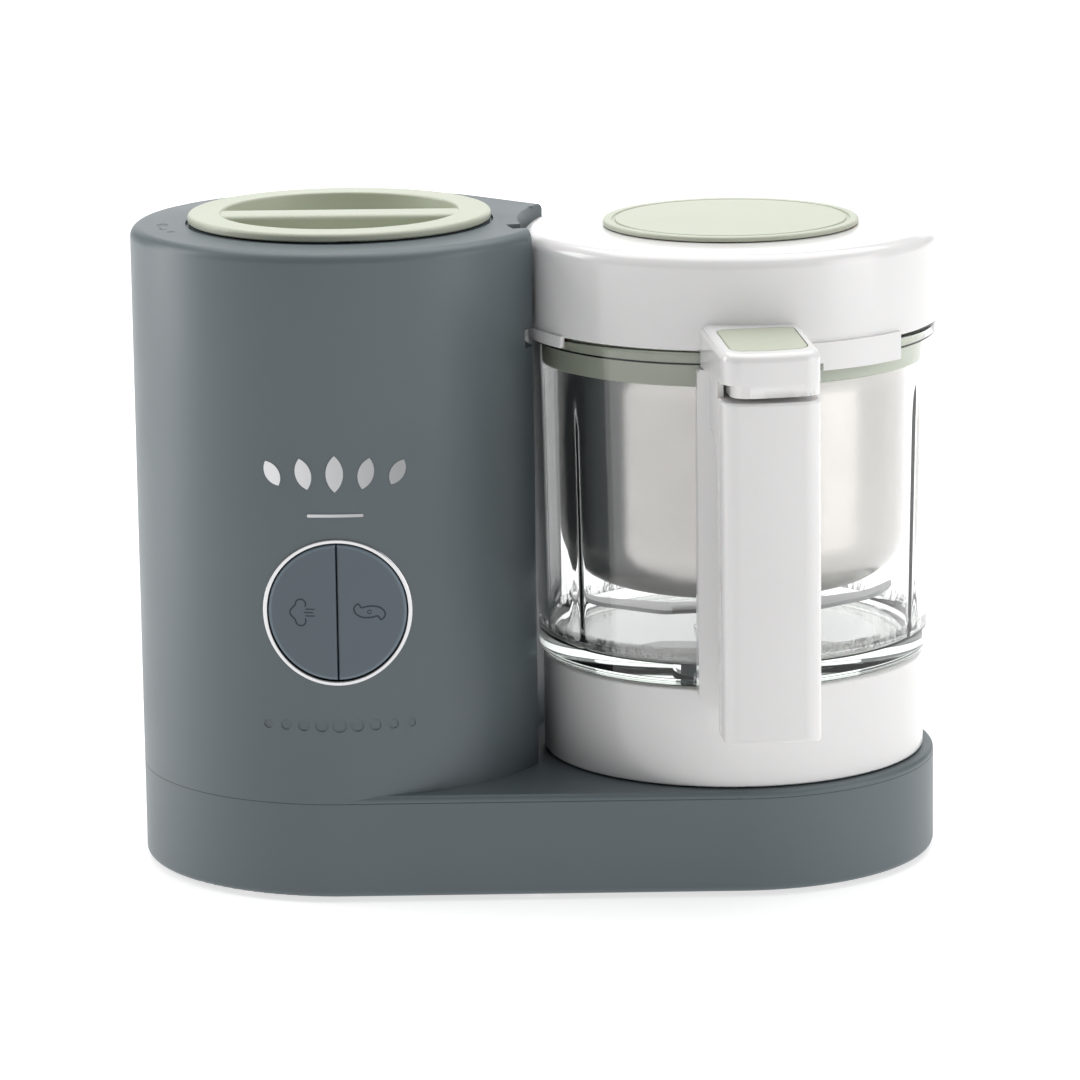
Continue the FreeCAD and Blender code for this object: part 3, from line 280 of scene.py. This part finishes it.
# %% Lighter border of the keys
keys = FINISHES["button_grey"]
key_place = node(keys, "ShaderNodeTexCoord")
key_flat = node(keys, "ShaderNodeVectorMath")
key_flat.operation = "MULTIPLY"
key_flat.inputs[1].default_value = (1, 0, 1)
key_reach = node(keys, "ShaderNodeVectorMath")
key_reach.operation = "DISTANCE"
key_reach.inputs[1].default_value = (COLUMN_X / 1000, 0, PANEL_Z / 1000)
key_share = node(keys, "ShaderNodeMapRange")
BORDER_START, BORDER_FULL = 0.0256, 0.0264
key_share.inputs["From Min"].default_value = BORDER_START
key_share.inputs["From Max"].default_value = BORDER_FULL
key_links = keys.node_tree.links
key_links.new(key_place.outputs["Object"], key_flat.inputs[0])
key_links.new(key_flat.outputs["Vector"], key_reach.inputs[0])
key_links.new(key_reach.outputs["Value"], key_share.inputs["Value"])
key_links.new(ramp(keys, key_share.outputs["Result"], (0.098, 0.126, 0.148), (0.155, 0.20, 0.235), 0.0, 1.0),
              keys.node_tree.nodes["Principled BSDF"].inputs["Base Color"])
print("keys' border starts", 1000 * BORDER_START, "mm from the middle")

# %% [markdown]
# Metals: the basket is brushed round its axis, so its grooves are short in height and long
# round the wall, and reflections smear upwards. Blades are ground, castings are coarse.

# %% Metals
FINISHES.update({
    "basket_steel": ground_metal("basket_steel", (0.50, 0.482, 0.46), 0.26, (0.03, 0.03, 4.0)),
    "bright_trim": finish("bright_trim", (0.66, 0.66, 0.67), 0.2, Metallic=1.0),
    "blade_steel": ground_metal("blade_steel", (0.32, 0.32, 0.325), 0.32, (4.0, 0.1, 4.0)),
    "shaft_steel": ground_metal("shaft_steel", (0.52, 0.52, 0.53), 0.3, (0.2, 0.2, 3.0)),
    "tank_steel": ground_metal("tank_steel", (0.58, 0.58, 0.575), 0.3, (0.1, 0.1, 3.0)),
    "cast_metal": ground_metal("cast_metal", (0.42, 0.42, 0.43), 0.45, (1, 1, 1), 500.0, 0.00005),
    "core_iron": ground_metal("core_iron", (0.12, 0.115, 0.11), 0.5, (0.1, 0.1, 6.0), 700.0, 0.00006),
    "copper_wire": ground_metal("copper_wire", (0.62, 0.26, 0.11), 0.3, (1, 1, 1), 1600.0, 0.0001),
    "bush_bronze": ground_metal("bush_bronze", (0.52, 0.35, 0.14), 0.4, (1, 1, 1), 1500.0, 0.00003),
})
relief(FINISHES["bright_trim"], 60.0, 0.00001)


def along(made, axis, start, stop, low, high):
    """Base colour that runs from low to high along one object coordinate, start to stop in metres."""
    links = made.node_tree.links
    place = node(made, "ShaderNodeTexCoord")
    parts = node(made, "ShaderNodeSeparateXYZ")
    share = node(made, "ShaderNodeMapRange")
    share.inputs["From Min"].default_value, share.inputs["From Max"].default_value = start, stop
    links.new(place.outputs["Object"], parts.inputs["Vector"])
    links.new(parts.outputs[axis], share.inputs["Value"])
    shader = made.node_tree.nodes["Principled BSDF"]
    links.new(ramp(made, share.outputs["Result"], low, high, 0.0, 1.0), shader.inputs["Base Color"])


# Painted reflection: the emblem's base colour runs from light at its left end to dark at the right. This
# stands in for the light its leaves catch.
FINISHES["emblem_silver_painted_reflection"] = finish("emblem_silver_painted_reflection", (0.5, 0.5, 0.51), 0.3, Metallic=1.0)
along(FINISHES["emblem_silver_painted_reflection"], "X", -0.100, -0.052, (0.64, 0.64, 0.65), (0.30, 0.305, 0.31))
relief(FINISHES["emblem_silver_painted_reflection"], 900.0, 0.00001, (0.1, 1, 4))
print("metals ready:", len(FINISHES), "finishes in all")

# %% [markdown]
# The jug's glass is thick and soda-lime, with the faint green that shows at its edges. The
# tint is set as an absorption colour in the volume of the wall, where light travels far.
# Rays on their way to a lamp pass straight through, so what stands in the jug is lit.

# %% Glass
glass = finish("bowl_glass", (1, 1, 1), 0.0, IOR=1.5, Transmission_Weight=1.0)
relief(glass, 30.0, 0.00002)
tint = node(glass, "ShaderNodeVolumeAbsorption", Color=(0.86, 0.96, 0.90, 1), Density=5.0)
glass_out = glass.node_tree.nodes["Material Output"]
glass.node_tree.links.new(tint.outputs["Volume"], glass_out.inputs["Volume"])
lamp_rays = node(glass, "ShaderNodeLightPath")
open_way = node(glass, "ShaderNodeBsdfTransparent", Color=(0.93, 0.95, 0.94, 1))
either = node(glass, "ShaderNodeMixShader")
glass.node_tree.links.new(lamp_rays.outputs["Is Shadow Ray"], either.inputs[0])
glass.node_tree.links.new(glass.node_tree.nodes["Principled BSDF"].outputs["BSDF"], either.inputs[1])
glass.node_tree.links.new(open_way.outputs["BSDF"], either.inputs[2])
glass.node_tree.links.new(either.outputs["Shader"], glass_out.inputs["Surface"])
FINISHES["bowl_glass"] = glass

# %% [markdown]
# ## Carrying the frame's own shapes over
# Most sub-parts already have the right shape in the frame, with real fillets. Their meshes
# are loose triangles, so a copy of each is welded, its edges sharper than 28 degrees are
# kept crisp, and its shading is weighted by the area and corner angle of the faces.

# %% Which body and finish each frame node has
SLOT_OF = {part["node"]: part["material_slot"] for part in frame["record"]["subparts"]}
BODY_OF = {n: body for body, names in frame["record"]["behaviour"]["bodies"].items() for n in names}


def settle(name, mesh, nodes, crisp=28.0, slot=None, look=None):
    """Object for a finished mesh: crisp edges, weighted normals, its body, slot and finish."""
    mesh.polygons.foreach_set("use_smooth", np.ones(len(mesh.polygons), bool))
    mesh.set_sharp_from_angle(angle=math.radians(crisp))
    piece = bpy.data.objects.new(name, mesh)
    bpy.context.scene.collection.objects.link(piece)
    slot = slot or SLOT_OF[nodes[0]]
    mesh.materials.clear()
    mesh.materials.append(FINISHES[look or slot])
    weigh = piece.modifiers.new("weighted_normals", "WEIGHTED_NORMAL")
    weigh.keep_sharp, weigh.mode = True, "FACE_AREA_WITH_ANGLE"
    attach(piece, BODY_OF[nodes[0]])
    return piece


def welded(source, name=None):
    """Welded copy of a frame node that stands for it."""
    mesh = frame["nodes"][source].data.copy()
    work = bmesh.new()
    work.from_mesh(mesh)
    bmesh.ops.remove_doubles(work, verts=work.verts, dist=2e-7)
    work.to_mesh(mesh)
    work.free()
    piece = settle(name or source + "_skin", mesh, [source], look=LOOKS.get(source))
    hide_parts(source)
    return piece


HAND_MADE = ["glass_bowl", "lid_plug", "panel_bezel"]
LOOKS = {"front_trim": "emblem_silver_painted_reflection", "panel_frame": "button_grey"}
for source in SLOT_OF:
    if source not in HAND_MADE:
        welded(source)
print("welded copies:", len(SLOT_OF) - len(HAND_MADE))

# %% [markdown]
# ## Surfaces from formulas
# A new piece is a grid of points worked out at once as an array. One helper gives the
# faces of a grid, one rounds the corners of a profile, one turns a profile about an axis.

# %% Grid, rounded profile and turned surface
def grid_faces(rows, columns, close_rows=False, close_columns=True):
    """Quads between neighbouring points of a rows by columns grid, wrapped where closed."""
    i = np.arange(rows if close_rows else rows - 1)[:, None]
    j = np.arange(columns if close_columns else columns - 1)[None, :]
    below, beside = (i + 1) % rows, (j + 1) % columns
    corners = [i * columns + j, i * columns + beside, below * columns + beside, below * columns + j]
    return np.stack(np.broadcast_arrays(*corners), -1).reshape(-1, 4)


def rounded(points, steps=6, closed=True):
    """Profile (a, b, radius): each corner is replaced by an arc tangent to both its sides."""
    path = []
    count = len(points)
    for k, point in enumerate(points):
        corner, radius = np.array(point[:2], float), point[2] if len(point) > 2 else 0.0
        if radius == 0 or (not closed and k in (0, count - 1)):
            path.append(corner)
            continue
        back = np.array(points[k - 1][:2], float) - corner
        ahead = np.array(points[(k + 1) % count][:2], float) - corner
        back, ahead = back / np.hypot(*back), ahead / np.hypot(*ahead)
        half = math.acos(float(np.clip(back @ ahead, -1, 1))) / 2
        middle = back + ahead
        centre = corner + middle / np.hypot(*middle) * radius / math.sin(half)
        start, stop = corner + back * radius / math.tan(half), corner + ahead * radius / math.tan(half)
        a0, a1 = math.atan2(*(start - centre)[::-1]), math.atan2(*(stop - centre)[::-1])
        turn = (a1 - a0 + math.pi) % (2 * math.pi) - math.pi
        angles = a0 + turn * np.linspace(0, 1, steps + 1)
        path.extend(centre + radius * np.stack([np.cos(angles), np.sin(angles)], 1))
    return np.array(path)


def shaped(name, points, faces, nodes, slot=None, crisp=30.0, look=None):
    """Mesh from points in millimetres, welded and turned outwards, set on its body."""
    mesh = bpy.data.meshes.new(name)
    mesh.from_pydata((np.asarray(points, float) / 1000).tolist(), [], np.asarray(faces).tolist())
    work = bmesh.new()
    work.from_mesh(mesh)
    bmesh.ops.remove_doubles(work, verts=work.verts, dist=1e-6)
    bmesh.ops.dissolve_degenerate(work, edges=work.edges, dist=1e-6)
    bmesh.ops.recalc_face_normals(work, faces=work.faces)
    work.to_mesh(mesh)
    work.free()
    piece = settle(name, mesh, nodes, crisp, slot, look)
    print(name, "has", len(mesh.polygons), "faces")
    return piece


# %% [markdown]
# ## Glass jug
# The bowl is pressed glass: a smooth tapered outside, a thick floor, a ledge that carries
# the basket, and six ribs that swell inwards and die out in a point near the top. Its
# wall is one closed profile turned about the axis, with the ribs added to the inner radius.

# %% Glass bowl
def rib_depth(angle, height):
    """Six ribs: 0.7 mm deep, cosine-squared across 4.2 mm each side, to a point at z 198."""
    spacing = 2 * np.pi / 6
    away = (angle - HANDLE_AZIMUTH + spacing / 2) % spacing - spacing / 2
    fade = np.clip((198 - height) / 16, 0, 1)
    width = 0.8 + 3.4 * np.sqrt(fade)
    across = np.clip(76 * np.abs(away) / width, 0, 1)
    return 0.7 * fade ** 0.8 * np.clip((height - 88) / 10, 0, 1) * np.cos(np.pi / 2 * across) ** 2


def upward(a, b, count):
    """Evenly spaced points strictly between two profile points."""
    return [tuple(np.array(a) + (np.array(b) - np.array(a)) * t) for t in np.linspace(0, 1, count + 2)[1:-1]]


bowl_outside = [(16, 83.6), (78.3, 83.6, 4.0), (81.6, 218, 1.3), (78.5, 218, 1.3), (78.3, 213.6)]
bowl_inside = [(76.8, 212.6)] + upward((76.8, 212.6), (74.6, 91.4), 46) + [(74.6, 91.4, 8.0), (16, 91.4)]
BOWL_STEPS = 288
bowl_profile = rounded(bowl_outside + bowl_inside, 8)
turns = np.linspace(0, 2 * np.pi, BOWL_STEPS, endpoint=False)
radius, height = bowl_profile[:, :1], bowl_profile[:, 1:]
inside = (radius > 60) & (radius < 77) & (height > 90.9) & (height < 212)
bowl_radius = radius - np.where(inside, rib_depth(turns[None, :], height), 0.0)
bowl_points = np.stack([JUG_X + bowl_radius * np.cos(turns), bowl_radius * np.sin(turns),
                        height + 0 * turns], -1).reshape(-1, 3)
glass_piece = shaped("glass_bowl_wall", bowl_points,
                     grid_faces(len(bowl_profile), BOWL_STEPS, True), ["glass_bowl"])
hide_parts("glass_bowl")

# %% [markdown]
# ## Brushing round the basket
# The basket was polished on a lathe, so its grooves run round it and highlights smear
# upwards. The shader needs to know which way is round, and a UV map tells it: u is the
# angle times the radius and v the height, unwrapped across the seam at the back.

# %% Basket's brushing direction
def wrap_round(piece, axis_x):
    """UV map: u = radius x angle from the back, v = height; a face never straddles the seam."""
    mesh = piece.data
    corner = np.empty(len(mesh.loops), int)
    mesh.loops.foreach_get("vertex_index", corner)
    where = np.empty(3 * len(mesh.vertices))
    mesh.vertices.foreach_get("co", where)
    where = where.reshape(-1, 3)[corner] - (axis_x / 1000, 0, 0)
    angle = np.arctan2(where[:, 0], -where[:, 1]).reshape(-1, 3)
    straddles = (angle.max(1) - angle.min(1)) > np.pi
    angle = np.where(straddles[:, None] & (angle < 0), angle + 2 * np.pi, angle).ravel()
    layer = mesh.uv_layers.new(name="round_and_up")
    layer.data.foreach_set("uv", np.stack([0.069 * angle, where[:, 2]], 1).ravel())


basket = bpy.data.objects["steam_basket_skin"]
wrap_round(basket, JUG_X)
steel = FINISHES["basket_steel"]
direction = node(steel, "ShaderNodeTangent")
direction.direction_type, direction.uv_map = "UV_MAP", "round_and_up"
steel_shader = steel.node_tree.nodes["Principled BSDF"]
steel.node_tree.links.new(direction.outputs["Tangent"], steel_shader.inputs["Tangent"])
steel_shader.inputs["Anisotropic"].default_value = 0.75
steel_shader.inputs["Anisotropic Rotation"].default_value = 0.25
print("basket corners mapped:", len(basket.data.loops))

# %% [markdown]
# ## Joint line of the base
# The casing and the deck meet in a fine shadow line. It follows the base's plan, which is
# two circles joined by their tangents, as a dark thread 0.3 mm high that stands 0.02 mm
# proud: it is a drawn line, and the casing under it has no groove. Growing the plan by d
# simply grows both circles by d.

# %% Joint line
def belt_plan(grow, steps=96):
    """Plan (x, y) of two arcs joined by straight tangents, anticlockwise from the back left."""
    lean = math.acos((COLUMN_R - BASE_END_R) / (JUG_X - COLUMN_X))
    left = np.linspace(lean, 2 * math.pi - lean, steps)
    right = np.linspace(-lean, lean, steps)
    arcs = [(COLUMN_X, COLUMN_R + grow, left), (JUG_X, BASE_END_R + grow, right)]
    ends = [np.stack([x + r * np.cos(a), r * np.sin(a)], 1) for x, r, a in arcs]
    return np.concatenate(ends)


BASE_END_R, SEAM_Z = 81.0, 40.0
SEAM_PROUD, SEAM_HALF = 0.02, 0.15
seam_section = [(SEAM_PROUD, SEAM_Z - SEAM_HALF), (SEAM_PROUD, SEAM_Z + SEAM_HALF),
                (-SEAM_HALF, SEAM_Z + SEAM_HALF), (-SEAM_HALF, SEAM_Z - SEAM_HALF)]
seam_points = np.stack([np.c_[belt_plan(grow), np.full(192, height)] for grow, height in seam_section])
FINISHES["joint_shadow"] = satin_plastic("joint_shadow", (0.040, 0.049, 0.054), 0.5)
shaped("base_joint_line", seam_points.reshape(-1, 3), grid_faces(4, 192, True), ["lower_casing"],
       look="joint_shadow")

# %% [markdown]
# ## Feed plug
# The plug is a shallow disc with a fine groove near its rim, faintly crowned, over a
# skirt with a sealing bead. It is one profile, from the axis out, down and back.

# %% Plug
def turned_points(profile, axis_x, steps=192):
    """Profile (radius, height) turned about a vertical axis into a grid of points."""
    turn = np.linspace(0, 2 * np.pi, steps, endpoint=False)
    r, z = profile[:, :1], profile[:, 1:]
    return np.stack([axis_x + r * np.cos(turn), r * np.sin(turn), z + 0 * turn], -1)


crown = [(r, 258.4 + 0.25 * (1 - (r / 45.0) ** 2)) for r in np.linspace(0, 44.0, 10)]
plug_profile = rounded(crown + [(45.9, 258.4, 0.3), (46.3, 257.6, 0.2), (47.2, 257.6, 0.2), (47.6, 258.4, 0.3),
                                (51.0, 258.4, 1.0), (51.0, 256.4, 0.5), (43.0, 256.4), (43.0, 249.4, 0.5),
                                (46.1, 248.6, 1.0), (46.1, 246.6, 1.0), (43.0, 246.0, 0.5), (43.0, 240.0),
                                (40.6, 240.0), (40.6, 254.9, 1.0), (0, 254.9)], 6, closed=False)
plug_grid = turned_points(plug_profile, JUG_X)
plug = shaped("lid_plug_disc", plug_grid.reshape(-1, 3), grid_faces(len(plug_profile), 192), ["lid_plug"])
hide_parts("lid_plug")

# %% [markdown]
# ## Ring round the keys
# The bright ring is a flat-topped wire, 1.6 mm wide, bent onto the column: its section is a
# rounded bar about a circle of radius 28.45 mm in the front view, and each point is pushed
# out to the column's round face, y = -sqrt(R^2 - x^2).

# %% Panel ring
RING_R, RING_HALF = 28.45, 0.8
RING_STEPS, RING_SIDES = 200, 20
ring_turn = np.linspace(0, 2 * np.pi, RING_STEPS, endpoint=False)[None, :]
ring_section = np.linspace(0, 2 * np.pi, RING_SIDES, endpoint=False)[:, None]
ring_reach = RING_R + RING_HALF * np.cos(ring_section)
ring_x = ring_reach * np.cos(ring_turn)
ring_height = 0.15 + 0.4 * np.sign(np.sin(ring_section)) * np.abs(np.sin(ring_section)) ** 0.4
ring_y = -np.sqrt(COLUMN_R ** 2 - ring_x ** 2) - ring_height
ring_z = PANEL_Z + ring_reach * np.sin(ring_turn)
panel_ring = shaped("panel_bezel_ring", np.stack([COLUMN_X + ring_x, ring_y, ring_z], -1).reshape(-1, 3),
                    grid_faces(RING_SIDES, RING_STEPS, True), ["panel_bezel"])
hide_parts("panel_bezel")

# %% [markdown]
# ## Engraved marks
# The keys and the top carry small line drawings, which on the real object are cut in. Here
# each is a thin dark band that follows a drawn line, tapering to nothing at its ends, and
# stands 0.03 mm proud of the face; its dark colour is painted shade, for the shade inside
# the cut. A placing function wraps the drawing on the key's curved face or lays it on the
# flat top.

# %% Engraved lines
def band(points, width, place, closed=False):
    """Band 0.15 mm thick along a line (a, b): half the width each way along the line's normal."""
    line = np.asarray(points, float)
    if closed:
        step = np.roll(line, -1, 0) - np.roll(line, 1, 0)
        half = np.full(len(line), width / 2)
    else:
        step = np.gradient(line, axis=0)
        run = np.r_[0, np.cumsum(np.hypot(*np.diff(line, axis=0).T))]
        end = np.minimum(run, run[-1] - run) / (width / 2)
        half = width / 2 * np.sqrt(np.clip(1 - (1 - np.clip(end, 0, 1)) ** 2, 0, 1))
    normal = np.stack([-step[:, 1], step[:, 0]], 1) / np.hypot(*step.T)[:, None]
    sides = [line + normal * half[:, None], line - normal * half[:, None]]
    rows = [place(sides[0], 0.0), place(sides[1], 0.0), place(sides[1], 0.15), place(sides[0], 0.15)]
    return np.stack(rows), grid_faces(4, len(line), True, closed)


def drawing(name, strokes, place, nodes, look):
    """One piece made of several bands: strokes are (points, width, closed)."""
    points, faces, count = [], [], 0
    for line, width, closed in strokes:
        grid, quads = band(line, width, place, closed)
        points.append(grid.reshape(-1, 3))
        faces.append(quads + count)
        count += points[-1].shape[0]
    return shaped(name, np.concatenate(points), np.concatenate(faces), nodes, look=look)


def straight(a, b, count=12):
    """Points along a straight line."""
    return np.array(a) + (np.array(b) - np.array(a)) * np.linspace(0, 1, count)[:, None]


KEY_FACE_R, TOP_Z, MARK_PROUD = 83.8, 259.0, 0.03


def on_key(centre_x):
    """Places a drawing on the key's face, which is a cylinder about the column's axis."""
    def place(flat, depth):
        x, radius = flat[:, 0] + centre_x, KEY_FACE_R + MARK_PROUD - depth
        return np.stack([COLUMN_X + x, -np.sqrt(radius ** 2 - x ** 2), PANEL_Z + flat[:, 1]], 1)
    return place


# Painted shade: the marks' dark colour stands for the shade inside a cut line.
FINISHES["cut_shade_key"] = satin_plastic("cut_shade_key", (0.020, 0.030, 0.040), 0.5)
FINISHES["cut_shade_top"] = satin_plastic("cut_shade_top", (0.030, 0.037, 0.041), 0.45)


def arc(centre, size, start, stop, count=24):
    """Points on a circle between two angles in degrees."""
    angle = np.radians(np.linspace(start, stop, count))
    return np.array(centre) + size * np.stack([np.cos(angle), np.sin(angle)], 1)


cloud = np.concatenate([arc((0.2, 3.3), 2.0, -35, 185), arc((-1.9, 0.0), 2.1, 125, 235),
                        arc((0.2, -3.3), 2.0, 175, 395)])
prongs = [(straight((x, z), (x + 4.0, z)), 0.5, False) for x, z in ((1.9, 1.35), (1.3, 0.0), (1.9, -1.35))]
drawing("steam_mark", [(cloud, 0.62, False)] + prongs, on_key(-14.5), ["steam_button"], "cut_shade_key")

swirl = np.array([(-4.4, 3.3), (-3.1, 1.8), (-0.9, 2.2), (2.6, 2.1), (5.3, 0.6), (6.0, -1.7)])
corners = np.concatenate([swirl, -swirl])
share = np.linspace(0, 1, 9)[:-1, None]
blade_line = []
for k in range(12):
    before, here, ahead, after = (corners[(k + step) % 12] for step in (-1, 0, 1, 2))
    blade_line.append(0.5 * (2 * here + (ahead - before) * share
                             + (2 * before - 5 * here + 4 * ahead - after) * share ** 2
                             + (3 * here - before - 3 * ahead + after) * share ** 3))
hub = (arc((0, 0), 0.75, 0, 352), 0.4, False)
drawing("blend_mark", [(np.concatenate(blade_line), 0.65, True), hub], on_key(12.6),
        ["blend_button"], "cut_shade_key")


# %% Marks on the top
def on_top(azimuth, reach):
    """Places a drawing flat on the column's top, upright as seen from the front."""
    def place(flat, depth):
        x = COLUMN_X + reach * math.cos(azimuth) + flat[:, 0]
        y = reach * math.sin(azimuth) + flat[:, 1]
        return np.stack([x, y, np.full(len(x), TOP_Z + MARK_PROUD - depth)], 1)
    return place


def outline(corner_points):
    """Closed line through the corners, ten points to a side."""
    count = len(corner_points)
    sides = [straight(corner_points[k], corner_points[(k + 1) % count], 10)[:-1] for k in range(count)]
    return np.concatenate(sides)


half_turn = np.linspace(0, np.pi, 24)
shackle = np.stack([0.2 + 1.3 * np.cos(half_turn), 1.1 + 1.3 * np.sin(half_turn)], 1)
body_line = np.array([(-2, -2.6), (2, -2.6), (2, 0.8), (-2, 0.8)])
padlock = [(outline(body_line), 0.4, True), (shackle, 0.4, False)]
drawing("open_mark", padlock, on_top(math.radians(186), 70.5), ["column_top_cover"], "cut_shade_top")
bend = np.linspace(math.radians(190), math.radians(196.5), 30)
arc_line = np.stack([72.0 * (np.cos(bend) - math.cos(bend[0])), 72.0 * (np.sin(bend) - math.sin(bend[0]))], 1)
arrow = [(arc_line, 0.45, False), (straight(arc_line[-1], arc_line[-1] + (-1.9, 1.6)), 0.45, False),
         (straight(arc_line[-1], arc_line[-1] + (1.2, 2.2)), 0.45, False)]
drawing("turn_mark", arrow, on_top(math.radians(190), 72.0), ["column_top_cover"], "cut_shade_top")
triangle = np.array([(-1.6, -1.0), (1.6, -1.0), (0.0, 1.9)])
drawing("point_mark", [(outline(triangle), 0.45, True)], on_top(math.radians(201), 70.0),
        ["column_top_cover"], "cut_shade_top")

# %% [markdown]
# ## True round walls
# A turned wall cut into long triangles shades unevenly near its openings. Each piece's mesh
# is therefore frozen as it now shows, and where an upright face's corners all lie at one
# distance from the column's or the jug's axis, its corner normals point straight away from
# that axis. Level faces keep exactly the normal of their plane.

# %% Frozen meshes with exact normals
def flat_faces(face, facing, edge, count):
    """True where a face lies in a plane with three or more neighbours, spread edge by edge."""
    order = np.argsort(edge, kind="stable")
    twice = edge[order][1:] == edge[order][:-1]
    one, other = face[order][:-1][twice], face[order][1:][twice]
    plane = (facing[one] * facing[other]).sum(1) > 0.999999
    one, other = one[plane], other[plane]
    label = np.arange(count)
    while True:
        lower = label.copy()
        np.minimum.at(lower, one, label[other])
        np.minimum.at(lower, other, label[one])
        if (lower == label).all():
            return np.bincount(label, minlength=count)[label] >= 4
        label = lower[lower]


def corner_normals(mesh, planes):
    """Normals as shown, one per corner, replaced by the exact ones on round and level faces."""
    count = len(mesh.polygons)
    kept, corner = np.empty(3 * len(mesh.loops)), np.empty(len(mesh.loops), int)
    place, facing, first, sides = (np.empty(3 * len(mesh.vertices)), np.empty(3 * count),
                                   np.empty(count, int), np.empty(count, int))
    mesh.corner_normals.foreach_get("vector", kept)
    mesh.loops.foreach_get("vertex_index", corner)
    mesh.vertices.foreach_get("co", place)
    mesh.polygons.foreach_get("normal", facing)
    mesh.polygons.foreach_get("loop_start", first)
    mesh.polygons.foreach_get("loop_total", sides)
    face = np.repeat(np.arange(count), sides)
    kept, facing = kept.reshape(-1, 3), facing.reshape(-1, 3)
    if planes:
        edge = np.empty(len(mesh.loops), int)
        mesh.loops.foreach_get("edge_index", edge)
        flat = flat_faces(face, facing, edge, count)[face]
        kept[flat] = facing[face][flat]
    facing = facing[face]
    level = np.abs(facing[:, 2]) > 0.9999
    kept[level] = facing[level]
    for axis_x in (COLUMN_X, JUG_X):
        reach = 1000 * place.reshape(-1, 3)[corner] - (axis_x, 0, 0)
        distance = np.hypot(reach[:, 0], reach[:, 1])
        spread = np.maximum.reduceat(distance, first) - np.minimum.reduceat(distance, first)
        round_wall = (spread[face] < 0.02) & (np.abs(facing[:, 2]) < 0.02) & (distance > 20)
        outward = np.c_[reach[:, :2] / np.maximum(distance, 1e-9)[:, None], 0 * distance]
        outward *= np.sign((outward * facing).sum(1))[:, None]
        kept[round_wall] = outward[round_wall]
    return kept


WITH_PLANES = [part + "_skin" for part in ("lid_lever", "latch_button", "handle_grip", "grip_cover")]
shown_now = bpy.context.evaluated_depsgraph_get()
frozen = 0
for piece in [o for o in bpy.context.scene.objects if o.type == "MESH" and "weighted_normals" in o.modifiers]:
    mesh = bpy.data.meshes.new_from_object(piece.evaluated_get(shown_now), preserve_all_data_layers=True,
                                           depsgraph=shown_now)
    piece.modifiers.clear()
    mesh.normals_split_custom_set(corner_normals(mesh, piece.name in WITH_PLANES))
    piece.data = mesh
    frozen += 1
print("frozen pieces:", frozen)
